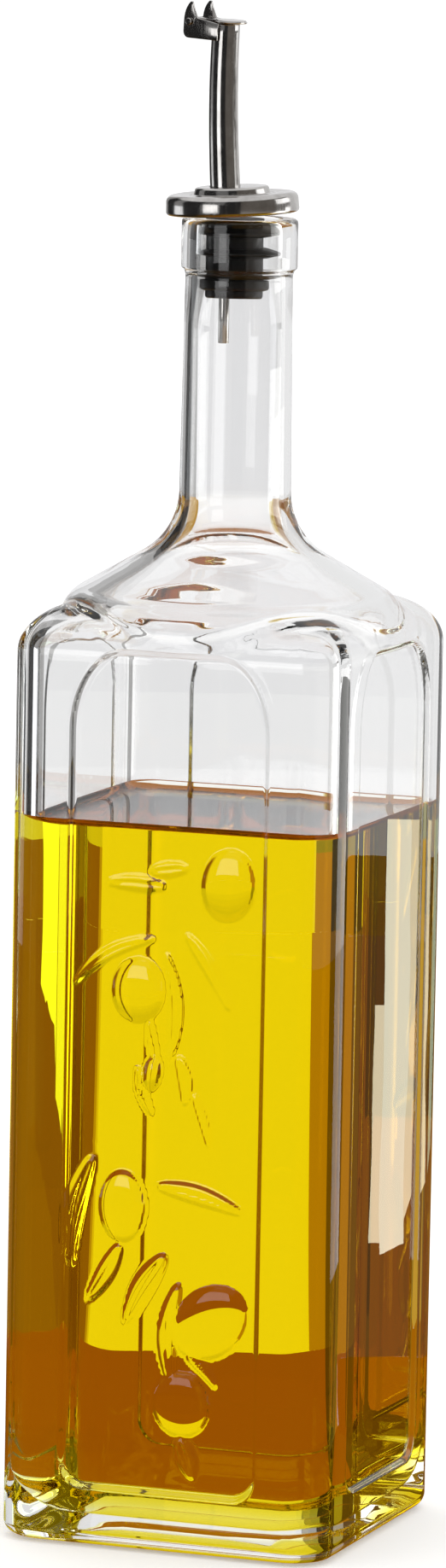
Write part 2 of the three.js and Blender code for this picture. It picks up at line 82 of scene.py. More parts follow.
class Solid(Enum):
    """Ways in which one closed shape changes another."""

    CUT = "DIFFERENCE"
    ADD = "UNION"


class Unseen(Enum):
    """Kinds of light path that the studio's screens are kept out of."""

    CAMERA = "visible_camera"
    DIFFUSE = "visible_diffuse"
    SHADOW = "visible_shadow"


# Modelling steps that the pieces share


def select_nothing() -> None:
    """Leaves edit mode and clears the selection."""
    if bpy.context.object is not None and bpy.context.object.mode != "OBJECT":
        bpy.ops.object.mode_set(mode="OBJECT")
    bpy.ops.object.select_all(action="DESELECT")


def pick(piece: bpy.types.Object) -> None:
    """Makes one piece the only selected and active one.

    Args:
        piece: The piece to work on.
    """
    select_nothing()
    piece.select_set(True)
    bpy.context.view_layer.objects.active = piece


def start_editing(piece: bpy.types.Object) -> None:
    """Opens a piece in edit mode with all of it selected.

    Args:
        piece: The piece to work on.
    """
    pick(piece)
    bpy.ops.object.mode_set(mode="EDIT")
    bpy.ops.mesh.select_all(action="SELECT")


def stop_editing() -> None:
    """Goes back to object mode."""
    bpy.ops.object.mode_set(mode="OBJECT")


def close_skin(piece: bpy.types.Object, reach: float = 0.002) -> None:
    """Merges points that lie together and turns all faces outwards.

    Args:
        piece: The piece to close.
        reach: How far apart merged points may be, in millimetres.
    """
    start_editing(piece)
    bpy.ops.mesh.remove_doubles(threshold=reach * MM)
    bpy.ops.mesh.normals_make_consistent(inside=False)
    stop_editing()


def points_of(piece: bpy.types.Object) -> np.ndarray:
    """A piece's points.

    Args:
        piece: The piece to read.

    Returns:
        An array of x, y and z in metres, one row for each point.
    """
    flat = np.empty(len(piece.data.vertices) * 3, np.float32)
    piece.data.vertices.foreach_get("co", flat)
    return flat.reshape(-1, 3).astype(float)


def select_open_edges() -> None:
    """Selects the edges along the holes of the piece that is being edited."""
    bpy.ops.mesh.select_all(action="DESELECT")
    bpy.ops.mesh.select_mode(type="EDGE")
    bpy.ops.mesh.select_non_manifold()


def face_values(piece: bpy.types.Object, kind: str) -> np.ndarray:
    """Each face's centre or normal.

    Args:
        piece: The piece to read.
        kind: center or normal.

    Returns:
        An array with one row of x, y and z for each face.
    """
    flat = np.empty(len(piece.data.polygons) * 3, np.float32)
    piece.data.polygons.foreach_get(kind, flat)
    return flat.reshape(-1, 3)


def mark_faces(piece: bpy.types.Object, wet: np.ndarray) -> None:
    """Gives a piece's faces the mark that its finish reads.

    Args:
        piece: The piece.
        wet: One true or false for each face.
    """
    mark = piece.data.attributes.new(WETTED, "FLOAT", "FACE")
    mark.data.foreach_set("value", wet.astype(np.float32))


def place_points(piece: bpy.types.Object, points: np.ndarray) -> None:
    """Moves a piece's points.

    Args:
        piece: The piece to shape.
        points: The new x, y and z in metres.
    """
    piece.data.vertices.foreach_set("co", points.astype(np.float32).ravel())
    piece.data.update()


def select_by(piece: bpy.types.Object, kind: str, wanted: np.ndarray) -> None:
    """Selects some of a piece's points, edges or faces, and opens it in edit mode.

    Args:
        piece: The piece to work on.
        kind: VERT, EDGE or FACE.
        wanted: One true or false for each point, edge or face.
    """
    pick(piece)
    bpy.ops.object.mode_set(mode="EDIT")
    bpy.ops.mesh.select_mode(type=kind)
    bpy.ops.mesh.select_all(action="DESELECT")
    bpy.ops.object.mode_set(mode="OBJECT")
    items = {"VERT": "vertices", "EDGE": "edges", "FACE": "polygons"}[kind]
    getattr(piece.data, items).foreach_set("select", wanted.astype(bool))
    bpy.ops.object.mode_set(mode="EDIT")


def extrude_through(levels: Sequence[Pair], open_edge: bool = False) -> None:
    """Extrudes what is selected up or down through some levels and resizes it at each.

    Args:
        levels: Half width and height of each level, in millimetres, from where the selection is.
        open_edge: Whether only an edge is extruded. Otherwise faces are.
    """
    extrude = bpy.ops.mesh.extrude_edges_move if open_edge else bpy.ops.mesh.extrude_region_move
    for (width, height), (next_width, next_height) in zip(levels, levels[1:]):
        extrude(TRANSFORM_OT_translate={"value": (0, 0, (next_height - height) * MM)})
        change = next_width / width
        centre = (0, 0, next_height * MM)
        bpy.ops.transform.resize(value=(change, change, 1), center_override=centre)


def turned(profile: Sequence[Pair], sides: int = 64, closes: bool = False) -> bpy.types.Object:
    """Turns a profile round the Z axis by extruding and resizing a circle, step by step.

    Args:
        profile: Radius and height of each ring, in millimetres.
        sides: Number of sides of the circle.
        closes: Whether the last ring joins the first, as on a tube. Otherwise both ends are faces.

    Returns:
        The turned piece.
    """
    select_nothing()
    radius, height = profile[0]
    bpy.ops.mesh.primitive_circle_add(
        vertices=sides,
        radius=radius * MM,
        fill_type="NOTHING" if closes else "NGON",
        location=(0, 0, height * MM),
    )
    piece = bpy.context.object
    start_editing(piece)
    extrude_through([*profile, profile[0]] if closes else profile, open_edge=closes)
    stop_editing()
    bpy.ops.object.transform_apply(location=True, rotation=True, scale=True)
    close_skin(piece)
    return piece


def rounded(corner: Pair, start: float, end: float, radius: float, steps: int = 4) -> list[Pair]:
    """Points of a round on a profile.

    Args:
        corner: Radius and height of the round's centre.
        start: Angle of its first point, in degrees, with 0 outwards and 90 up.
        end: Angle of its last point.
        radius: Radius of the round.
        steps: Number of steps between the points.

    Returns:
        Radius and height of each point.
    """
    angles = [math.radians(start + (end - start) * i / steps) for i in range(steps + 1)]
    return [(corner[0] + radius * math.cos(a), corner[1] + radius * math.sin(a)) for a in angles]


def curve_between(start: Pair, pull: Pair, end: Pair, steps: int = 6) -> list[Pair]:
    """Points of a quadratic curve, without its first.

    Args:
        start: Where it starts.
        pull: The point that it bends towards.
        end: Where it ends.
        steps: Number of steps.

    Returns:
        The points.
    """
    points = []
    for i in range(1, steps + 1):
        share = i / steps
        weights = ((1 - share) ** 2, 2 * share * (1 - share), share**2)
        x, z = np.array(weights) @ np.array((start, pull, end))
        points.append((x, z))
    return points


def stepped(start: float, *stretches: tuple[float, int]) -> list[float]:
    """Values from a start through some stretches, each divided evenly.

    Args:
        start: The first value.
        stretches: The end of each stretch and its number of steps.

    Returns:
        The values in order.
    """
    values = [start]
    for end, steps in stretches:
        values += list(np.linspace(values[-1], end, steps + 1)[1:])
    return values


def outline_plate(
    outline: Sequence[Pair], first_face: float, thickness: float, edge: float = 0.1
) -> bpy.types.Object:
    """Cuts a flat plate to an outline in the XZ plane, with softened edges.

    Args:
        outline: x and z of each point, in millimetres.
        first_face: y of its first face.
        thickness: Thickness from there along +Y.
        edge: Radius of the softened edges.

    Returns:
        The plate.
    """
    select_nothing()
    bpy.ops.mesh.primitive_circle_add(vertices=len(outline), radius=MM, fill_type="NGON")
    piece = bpy.context.object
    place_points(piece, np.array([(x, first_face, z) for x, z in outline]) * MM)
    start_editing(piece)
    bpy.ops.mesh.extrude_region_move(TRANSFORM_OT_translate={"value": (0, thickness * MM, 0)})
    stop_editing()
    close_skin(piece)
    soften(piece, edge)
    return piece


def rectangle(left: float, right: float, low: float, high: float) -> list[Pair]:
    """An upright rectangle's corners, for a plate's outline."""
    return [(left, low), (right, low), (right, high), (left, high)]


def soften(piece: bpy.types.Object, width: float, segments: int = 2, angle: float = 35) -> None:
    """Bevels a piece's sharp edges and applies the bevel.

    Args:
        piece: The piece to soften.
        width: Width of the bevel, in millimetres.
        segments: Number of faces across the bevel.
        angle: Edges sharper than this many degrees are bevelled.
    """
    pick(piece)
    bevel = piece.modifiers.new("edges", "BEVEL")
    bevel.width = width * MM
    bevel.segments = segments
    bevel.limit_method = "ANGLE"
    bevel.angle_limit = math.radians(angle)
    bevel.use_clamp_overlap = True
    bpy.ops.object.modifier_apply(modifier=bevel.name)


def smooth(piece: bpy.types.Object, angle: float = 40) -> None:
    """Shades a piece smoothly, apart from edges sharper than an angle.

    Args:
        piece: The piece to shade.
        angle: The angle in degrees.
    """
    pick(piece)
    bpy.ops.object.shade_smooth_by_angle(angle=math.radians(angle))


def combine(piece: bpy.types.Object, tool: bpy.types.Object, how: Solid) -> None:
    """Cuts a tool's shape out of a piece or adds it, and removes the tool.

    Args:
        piece: The piece to change.
        tool: A closed shape.
        how: Whether the tool is cut out or added.
    """
    pick(piece)
    change = piece.modifiers.new("change", "BOOLEAN")
    change.operation = how.value
    change.object = tool
    change.solver = "EXACT"
    bpy.ops.object.modifier_apply(modifier=change.name)
    bpy.data.objects.remove(tool)


def join(pieces: Sequence[bpy.types.Object]) -> bpy.types.Object:
    """Joins meshes into the first one.

    Args:
        pieces: The meshes to join.

    Returns:
        The first mesh, with the others in it.
    """
    select_nothing()
    for piece in pieces:
        piece.select_set(True)
    bpy.context.view_layer.objects.active = pieces[0]
    bpy.ops.object.join()
    return pieces[0]


# Finishes


NOISE_LOW = 0.3
NOISE_HIGH = 0.7
WHITE = (1.0, 1.0, 1.0)


class Board:
    """A material's node tree, with short calls for adding to it."""

    def __init__(self, name: str) -> None:
        """Makes a material that holds a Principled shader.

        Args:
            name: The material's name.
        """
        self.material = bpy.data.materials.new(name)
        self.material.use_nodes = True
        self.tree = self.material.node_tree
        self.shader = self.tree.nodes["Principled BSDF"]
        self.output = self.tree.nodes["Material Output"]
        self.coordinates = self.tree.nodes.new("ShaderNodeTexCoord")

    def set(self, **values: float | Colour) -> None:
        """Sets the shader's own sockets.

        Args:
            values: A value for each socket, named with underscores for spaces.
        """
        for name, value in values.items():
            socket = self.shader.inputs[name.replace("_", " ")]
            socket.default_value = (*value, 1) if isinstance(value, tuple) else value

    def add(self, kind: str, **values: object) -> bpy.types.Node:
        """Adds a node.

        Args:
            kind: The node's type.
            values: Its properties.

        Returns:
            The new node.
        """
        node = self.tree.nodes.new(kind)
        for name, value in values.items():
            setattr(node, name, value)
        return node

    def link(self, source: bpy.types.NodeSocket, target: bpy.types.NodeSocket) -> None:
        """Links one socket to another."""
        self.tree.links.new(source, target)

    def noise(self, scale: float, detail: float = 2, stretch: Colour = (1, 1, 1)) -> bpy.types.Node:
        """Adds a noise texture on object coordinates.

        Args:
            scale: Features a metre.
            detail: Octaves of the noise.
            stretch: Scale of the pattern along x, y and z.

        Returns:
            The noise node.
        """
        mapping = self.add("ShaderNodeMapping")
        mapping.inputs["Scale"].default_value = stretch
        self.link(self.coordinates.outputs["Object"], mapping.inputs["Vector"])
        texture = self.add("ShaderNodeTexNoise")
        texture.inputs["Scale"].default_value = scale
        texture.inputs["Detail"].default_value = detail
        self.link(mapping.outputs["Vector"], texture.inputs["Vector"])
        return texture

    def spread(self, source: bpy.types.NodeSocket, low: float, high: float) -> bpy.types.NodeSocket:
        """Maps the middle of a noise onto a range.

        Args:
            source: The noise.
            low: What its low end becomes.
            high: What its high end becomes.

        Returns:
            The mapped value.
        """
        node = self.add("ShaderNodeMapRange")
        node.inputs["From Min"].default_value = NOISE_LOW
        node.inputs["From Max"].default_value = NOISE_HIGH
        node.inputs["To Min"].default_value = low
        node.inputs["To Max"].default_value = high
        self.link(source, node.inputs["Value"])
        return node.outputs["Result"]

    def bump(self, source: bpy.types.NodeSocket, height: float, strength: float = 1) -> None:
        """Gives the shader a bump.

        Args:
            source: The height pattern, from 0 to 1.
            height: The height of the pattern, in millimetres.
            strength: Strength of the bump.
        """
        node = self.add("ShaderNodeBump")
        node.inputs["Distance"].default_value = height * MM
        node.inputs["Strength"].default_value = strength
        self.link(source, node.inputs["Height"])
        self.link(node.outputs["Normal"], self.shader.inputs["Normal"])

    def mottle(self, source: bpy.types.NodeSocket, dark: Colour, light: Colour, least: float) -> None:
        """Colours the shader between two colours by a noise.

        Args:
            source: The noise.
            dark: The colour at its low end.
            light: The colour at its high end.
            least: The light colour's share at the low end.
        """
        mix = self.add("ShaderNodeMix", data_type="RGBA")
        mix.inputs["A"].default_value = (*dark, 1)
        mix.inputs["B"].default_value = (*light, 1)
        self.link(self.spread(source, least, 1), mix.inputs["Factor"])
        self.link(mix.outputs["Result"], self.shader.inputs["Base Color"])

    def clear(self, index: float, wetted_index: float, colour: Colour, density: float) -> None:
        """Makes a clear medium whose wetted faces bend light by another index.

        Args:
            index: The index of its other faces.
            wetted_index: The index of the faces that are marked as wetted.
            colour: The colour that it lets through.
            density: How strongly it absorbs the rest.
        """
        self.set(Base_Color=WHITE, Roughness=0.0, Transmission_Weight=1.0)
        mark = self.add("ShaderNodeAttribute", attribute_name=WETTED)
        node = self.add("ShaderNodeMapRange")
        node.inputs["To Min"].default_value = index
        node.inputs["To Max"].default_value = wetted_index
        self.link(mark.outputs["Fac"], node.inputs["Value"])
        self.link(node.outputs["Result"], self.shader.inputs["IOR"])
        volume = self.add("ShaderNodeVolumeAbsorption")
        volume.inputs["Color"].default_value = (*colour, 1)
        volume.inputs["Density"].default_value = density
        self.link(volume.outputs["Volume"], self.output.inputs["Volume"])


@dataclass(frozen=True)
class ClearGlass:
    """Clear pressed glass, with a slight wave and a faint grey-green body colour."""

    index: float = 1.52
    index_on_oil: float = 1.012
    wave_height: float = 0.02
    wave_scale: float = 55
    wave_stretch: Colour = (1, 1, 0.45)
    tint: Colour = (0.90, 0.97, 0.95)
    density: float = 2.2

    def material(self) -> bpy.types.Material:
        """The glass, whose faces marked as wetted bend light as glass does where it meets oil.

        Returns:
            The material.
        """
        board = Board("clear pressed glass")
        board.clear(self.index, self.index_on_oil, self.tint, self.density)
        wave = board.noise(self.wave_scale, detail=1, stretch=self.wave_stretch)
        board.bump(wave.outputs["Fac"], self.wave_height)
        return board.material


@dataclass(frozen=True)
class GoldenOil:
    """Clear golden oil. Where it wets the wall, the wall alone bends the light."""

    index: float = 1.47
    index_on_wall: float = 1.0
    colour: Colour = (0.973, 0.926, 0.04)
    density: float = 90

    def material(self) -> bpy.types.Material:
        """The oil as a clear absorbing medium under a smooth surface.

        Returns:
            The material.
        """
        board = Board("golden oil")
        board.clear(self.index, self.index_on_wall, self.colour, self.density)
        return board.material


@dataclass(frozen=True)
class PolishedSteel:
    """Polished stainless steel with a fine drawn grain and small clouded patches."""

    base: Colour = (0.60, 0.585, 0.57)
    dark: Colour = (0.42, 0.405, 0.39)
    least_base: float = 0.2
    cloud_scale: float = 260
    smoothest: float = 0.08
    roughest: float = 0.2
    grain_scale: float = 2600
    grain_stretch: Colour = (1, 1, 0.08)
    grain_height: float = 0.004
    grain_strength: float = 0.35

    def material(self) -> bpy.types.Material:
        """Steel whose roughness and colour drift slightly.

        Returns:
            The material.
        """
        board = Board("polished steel")
        board.set(Metallic=1.0)
        cloud = board.noise(self.cloud_scale, detail=3)
        board.mottle(cloud.outputs["Fac"], self.dark, self.base, self.least_base)
        grain = board.noise(self.grain_scale, stretch=self.grain_stretch)
        rough = board.spread(grain.outputs["Fac"], self.smoothest, self.roughest)
        board.link(rough, board.shader.inputs["Roughness"])
        board.bump(grain.outputs["Fac"], self.grain_height, self.grain_strength)
        return board.material


@dataclass(frozen=True)
class BlackRubber:
    """Satin black rubber with a fine moulded grain."""

    base: Colour = (0.004, 0.004, 0.0045)
    worn: Colour = (0.012, 0.012, 0.013)
    bloom_scale: float = 420
    smoothest: float = 0.32
    roughest: float = 0.5
    grain_scale: float = 3200
    grain_height: float = 0.02
    grain_strength: float = 0.4

    def material(self) -> bpy.types.Material:
        """Rubber with a slight bloom and grain.

        Returns:
            The material.
        """
        board = Board("black rubber")
        bloom = board.noise(self.bloom_scale, detail=4)
        board.mottle(bloom.outputs["Fac"], self.base, self.worn, 0)
        rough = board.spread(bloom.outputs["Fac"], self.smoothest, self.roughest)
        board.link(rough, board.shader.inputs["Roughness"])
        grain = board.noise(self.grain_scale)
        board.bump(grain.outputs["Fac"], self.grain_height, self.grain_strength)
        return board.material


@dataclass(frozen=True)
class Plain:
    """A plain matt surface or a glowing screen."""

    name: str
    colour: Colour
    glow: float = 0.0
    lift: float = 0.0

    def material(self) -> bpy.types.Material:
        """A matt surface whose shadows can be lifted, or a light of an even colour.

        Returns:
            The material.
        """
        board = Board(self.name)
        if self.glow:
            board.set(Base_Color=(0.0, 0.0, 0.0), Specular_IOR_Level=0.0)
            board.set(Emission_Color=self.colour, Emission_Strength=self.glow)
            return board.material
        board.set(Base_Color=self.colour, Roughness=0.9, Specular_IOR_Level=0.1)
        board.set(Emission_Color=self.colour, Emission_Strength=self.lift)
        return board.material


# Pieces


@dataclass
class Piece:
    """A finished piece that stands for one solid of the frame."""

    node: str = ""
    body: Body = Body.BOTTLE
    slot: Slot = Slot.STEEL

    def model(self) -> bpy.types.Object:
        """Models the piece at its place, which each kind of piece does in its own way."""
        raise NotImplementedError(self.node)

    def build(self, finish: bpy.types.Material) -> bpy.types.Object:
        """Models the piece, names it, gives it its finish and puts it in the frame.

        Args:
            finish: Its material.

        Returns:
            The piece.
        """
        made = self.model()
        made.name = f"{self.node}_dressed"
        made.data.name = made.name
        made.data.materials.clear()
        made.data.materials.append(finish)
        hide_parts(self.node)
        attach(made, self.body.value)
        log.info("%s: %d faces", made.name, len(made.data.polygons))
        return made


@dataclass(frozen=True)
class Shoulder:
    """The bottle's round shoulder: neck, concave fillet, cone and convex round."""

    neck: float
    fillet: float
    gauge: float
    bulge: float
    half: float
    gauge_radius: float = 18
    slope: float = math.radians(30)

    def cone_height(self, radius: float) -> float:
        """Height of the cone at a radius."""
        return self.gauge - (radius - self.gauge_radius) * math.tan(self.slope)

    @property
    def fillet_end(self) -> float:
        """Radius at which the fillet meets the cone."""
        return self.neck + self.fillet * (1 - math.sin(self.slope))

    @property
    def fillet_low(self) -> float:
        """Height at which the fillet meets the cone."""
        return self.cone_height(self.fillet_end)

    @property
    def fillet_top(self) -> float:
        """Height at which the fillet meets the neck."""
        return self.fillet_low + self.fillet * math.cos(self.slope)

    @property
    def bulge_start(self) -> float:
        """Radius at which the cone meets the convex round."""
        return self.half - self.bulge * (1 - math.sin(self.slope))

    @property
    def bulge_top(self) -> float:
        """Height at which the cone meets the convex round."""
        return self.cone_height(self.bulge_start)

    def radius(self, height: np.ndarray) -> np.ndarray:
        """The shoulder's radius.

        Args:
            height: Heights in millimetres.

        Returns:
            A radius for each height.
        """
        drop = np.clip(self.fillet_top - height, 0, self.fillet)
        concave = self.neck + self.fillet - np.sqrt(self.fillet**2 - drop**2)
        cone = self.gauge_radius + (self.gauge - height) / math.tan(self.slope)
        centre = self.bulge_top - self.bulge * math.cos(self.slope)
        climb = np.clip(height - centre, 0, self.bulge)
        convex = self.half - self.bulge + np.sqrt(self.bulge**2 - climb**2)
        return np.where(
            height >= self.fillet_low, concave, np.where(height >= self.bulge_top, cone, convex)
        )


def square_radius(angle: np.ndarray, half: np.ndarray, corner: np.ndarray) -> np.ndarray:
    """Distance from the axis to a rounded square.

    Args:
        angle: Directions in radians.
        half: Half the square's width.
        corner: Radius of its corners.

    Returns:
        The distance in each direction.
    """
    quarter = math.pi / 2
    within = np.abs(angle - np.round(angle / quarter) * quarter)
    centre = half - corner
    along = centre * (np.cos(within) + np.sin(within))
    round_part = along + np.sqrt(np.maximum(along**2 - 2 * centre**2 + corner**2, 0))
    return np.where(np.tan(within) * half <= centre, half / np.cos(within), round_part)


def soft_max(a: np.ndarray, b: np.ndarray, blend: float) -> np.ndarray:
    """The larger of two values, rounded where they meet.

    Args:
        a: Some values.
        b: Other values.
        blend: How far apart they are where the rounding ends.

    Returns:
        The rounded maximum.
    """
    share = np.clip(0.5 + (a - b) / (2 * blend), 0, 1)
    return b + (a - b) * share + blend * share * (1 - share) / 2


@dataclass(frozen=True)
class Ring:
    """One level of a bottle skin: a rounded square, or a circle where it has no half."""

    height: float
    half: float = 0.0
    corner: float = 0.0
    radius: float = 0.0


@dataclass(frozen=True)
class Skin:
    """One side of the bottle wall, inner or outer, from the foot to the neck."""

    shoulder: Shoulder
    corner: float
    dome_rise: float
    dome_run: float
    straight_top: float = 196.5
    blend: float = 3.0
    blend_share: float = 0.25

    @property
    def half(self) -> float:
        """Half the width between its straight sides."""
        return self.shoulder.half

    def radii(self, angles: np.ndarray, height: float) -> np.ndarray:
        """The skin's radius in each direction at a height above its foot.

        Args:
            angles: Directions in radians.
            height: The height in millimetres.

        Returns:
            A radius for each direction.
        """
        climb = max(height - self.straight_top, 0) / self.dome_rise
        bell = np.full_like(angles, self.shoulder.radius(np.array(height)))
        if climb >= 1:
            return bell
        narrowed = self.half - self.dome_run * (1 - math.sqrt(1 - climb**2))
        square = square_radius(angles, np.float64(narrowed), np.float64(self.corner))
        if climb == 0:
            return square
        widest = square_radius(angles, np.float64(self.half), np.float64(self.corner))
        blend = self.blend * min(1, climb / self.blend_share)
        return np.minimum(soft_max(bell, square, blend), widest)


@dataclass(frozen=True)
class Arch:
    """An arched panel, sunk into each side with a sloping edge."""

    half: float = 23
    top: float = 198.5
    bottom: float = 13
    depth: float = 1
    slope_run: float = 0.9
    arch_run: float = 12
    arch_rise: float = 18
    foot_round: float = 6

    def inset(self, across: np.ndarray, height: np.ndarray) -> np.ndarray:
        """How far inside the panel's outline each point lies.

        Args:
            across: Distance along the side from its middle.
            height: Height above the foot.

        Returns:
            The distance in millimetres, negative outside.
        """
        side = np.abs(across)
        inside = np.minimum(self.half - side, np.minimum(self.top - height, height - self.bottom))
        u = (side - (self.half - self.arch_run)) / self.arch_run
        v = (height - (self.top - self.arch_rise)) / self.arch_rise
        reach = np.sqrt(np.maximum(u, 0) ** 2 + np.maximum(v, 0) ** 2) + 1e-9
        steepness = np.sqrt((u / self.arch_run) ** 2 + (v / self.arch_rise) ** 2) / reach
        arch = (1 - reach) / np.maximum(steepness, 1e-6)
        inside = np.where((u > 0) & (v > 0), arch, inside)
        a = side - (self.half - self.foot_round)
        b = self.bottom + self.foot_round - height
        foot = self.foot_round - np.hypot(a, b)
        return np.where((a > 0) & (b > 0), foot, inside)

    def sunk(self, across: np.ndarray, height: np.ndarray) -> np.ndarray:
        """How deep the panel is sunk at each point, with rounded edges to its slope."""
        share = np.clip(self.inset(across, height) / self.slope_run, 0, 1)
        return self.depth * share**2 * (3 - 2 * share)


@dataclass(frozen=True)
class Leaf:
    """An embossed leaf, from its root to its tip, with a groove for its midrib."""

    root: Pair
    tip: Pair
    width: float
    bow: float
    height: float = 1.0
    groove: float = 0.3
    groove_width: float = 0.35
    fullest: float = 0.85
    point: float = 0.8
    flatness: float = 2.4
    crown: float = 0.75

    def relief(self, x: np.ndarray, z: np.ndarray) -> np.ndarray:
        """The leaf's height over the panel at each point.

        Args:
            x: Places across the front side.
            z: Their heights above the foot.

        Returns:
            The heights, 0 outside the leaf.
        """
        start = np.array(self.root)
        along = np.array(self.tip) - start
        length = np.hypot(*along)
        along = along / length
        across = np.array([-along[1], along[0]])
        if across.sum() < 0:
            across = -across
        share = ((x - start[0]) * along[0] + (z - start[1]) * along[1]) / length
        side = (x - start[0]) * across[0] + (z - start[1]) * across[1]
        share = np.clip(share, 1e-4, 1 - 1e-4)
        side = side - self.bow * np.sin(np.pi * share)
        half = self.width / 2 * np.sin(np.pi * share**self.fullest) ** self.point
        spread = np.abs(side) / np.maximum(half, 0.05)
        dome = np.maximum(1 - spread**self.flatness, 0) ** self.crown
        rib = self.groove * np.exp(-((side / self.groove_width) ** 2))
        rib = rib * np.clip(half / 1.2 - 0.3, 0, 1)
        taper = np.clip(half / (0.22 * self.width), 0, 1)
        return self.height * np.maximum(dome * taper - rib * (dome > 0), 0)


@dataclass(frozen=True)
class Olive:
    """An embossed olive."""

    at: Pair
    half: Pair
    turn: float
    height: float = 1.5

    def relief(self, x: np.ndarray, z: np.ndarray) -> np.ndarray:
        """The olive's height over the panel at each point.

        Args:
            x: Places across the front side.
            z: Their heights above the foot.

        Returns:
            The heights, 0 outside the olive.
        """
        turn = math.radians(self.turn)
        dx = x - self.at[0]
        dz = z - self.at[1]
        a = (dx * math.cos(turn) - dz * math.sin(turn)) / self.half[0]
        b = (dx * math.sin(turn) + dz * math.cos(turn)) / self.half[1]
        return self.height * np.sqrt(np.maximum(1 - a**2 - b**2, 0))


@dataclass(frozen=True)
class Stem:
    """An embossed stem through a few points."""

    points: tuple[Pair, ...]
    radius: float = 0.75
    parts: int = 12
    smoothings: int = 6

    def relief(self, x: np.ndarray, z: np.ndarray) -> np.ndarray:
        """The stem's height over the panel at each point.

        Args:
            x: Places across the front side.
            z: Their heights above the foot.

        Returns:
            The heights, 0 outside the stem.
        """
        knots = np.array(self.points)
        count = len(knots)
        at = np.linspace(0, count - 1, self.parts * count)
        path = np.stack([np.interp(at, range(count), knots[:, i]) for i in range(2)], axis=1)
        for _ in range(self.smoothings):
            path[1:-1] = (path[:-2] + 2 * path[1:-1] + path[2:]) / 4
        nearest = np.full(x.shape, 1e9)
        for first, second in zip(path[:-1], path[1:]):
            step = second - first
            share = ((x - first[0]) * step[0] + (z - first[1]) * step[1]) / (step @ step)
            share = np.clip(share, 0, 1)
            gap = np.hypot(x - first[0] - share * step[0], z - first[1] - share * step[1])
            nearest = np.minimum(nearest, gap)
        return np.sqrt(np.maximum(self.radius**2 - nearest**2, 0))


LEAVES = (
    Leaf((0.5, 147.4), (-15.4, 147.7), 5.6, 0.4),
    Leaf((-4.6, 150.4), (5.6, 152.0), 5.0, 0.2),
    Leaf((-1.6, 136.4), (-23.0, 123.0), 4.0, 2.6),
    Leaf((3.7, 138.3), (15.9, 119.3), 4.4, 0.9),
    Leaf((-0.6, 134.2), (0.5, 106.9), 4.0, 2.9),
    Leaf((-3.8, 118.4), (-1.0, 106.2), 2.8, -0.5),
    Leaf((2.8, 111.0), (4.7, 98.6), 5.0, 1.2),
    Leaf((6.4, 103.0), (10.7, 89.6), 3.0, 0.8),
    Leaf((-6.4, 108.0), (-2.4, 96.4), 3.0, -0.9),
    Leaf((-15.9, 88.0), (-21.0, 59.8), 6.4, -2.2),
    Leaf((-2.3, 81.6), (20.3, 76.2), 5.4, 1.1),
    Leaf((-9.2, 68.6), (-17.8, 53.9), 5.4, 0.5),
    Leaf((1.4, 67.0), (-8.8, 49.0), 6.2, -0.9),
    Leaf((4.4, 61.0), (3.4, 35.2), 5.6, -2.2),
    Leaf((6.2, 44.6), (13.5, 37.4), 3.2, 0.9),
    Leaf((4.6, 26.4), (8.4, 16.4), 5.6, 0.2),
)
OLIVES = (
    Olive((14.0, 148.7), (6.2, 8.0), 8),
    Olive((-6.5, 124.4), (6.1, 7.2), 4),
    Olive((-2.8, 106.4), (2.0, 3.9), 10),
    Olive((-9.3, 76.4), (5.5, 8.1), 0),
    Olive((11.5, 52.1), (7.4, 9.7), 50),
    Olive((5.3, 33.5), (6.8, 7.3), 0),
)
STEMS = (
    Stem(((8.6, 149.4), (2.6, 143.0), (-1.0, 136.0), (-1.0, 131.0))),
    Stem(((-16.3, 90.8), (-11.4, 85.8), (-9.6, 83.0))),
    Stem(((-3.4, 82.2), (1.6, 71.0), (7.0, 61.6))),
)

OIL_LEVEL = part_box("oil")[1].z / MM
GLASS_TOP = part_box("bottle_glass")[1].z / MM
BODY_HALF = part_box("bottle_glass")[1].x / MM
WALL = 4.0
FLOOR = 5.5
FLOOR_ROUND = 10.5
MENISCUS_RISE = 2.0
CONTACT = OIL_LEVEL + MENISCUS_RISE
OUTER_SHOULDER = Shoulder(neck=12.3, fillet=16, gauge=218.3, bulge=10, half=BODY_HALF)
INNER_SHOULDER = Shoulder(neck=10.2, fillet=18.1, gauge=213.7, bulge=6, half=BODY_HALF - WALL)
FRONT = 3


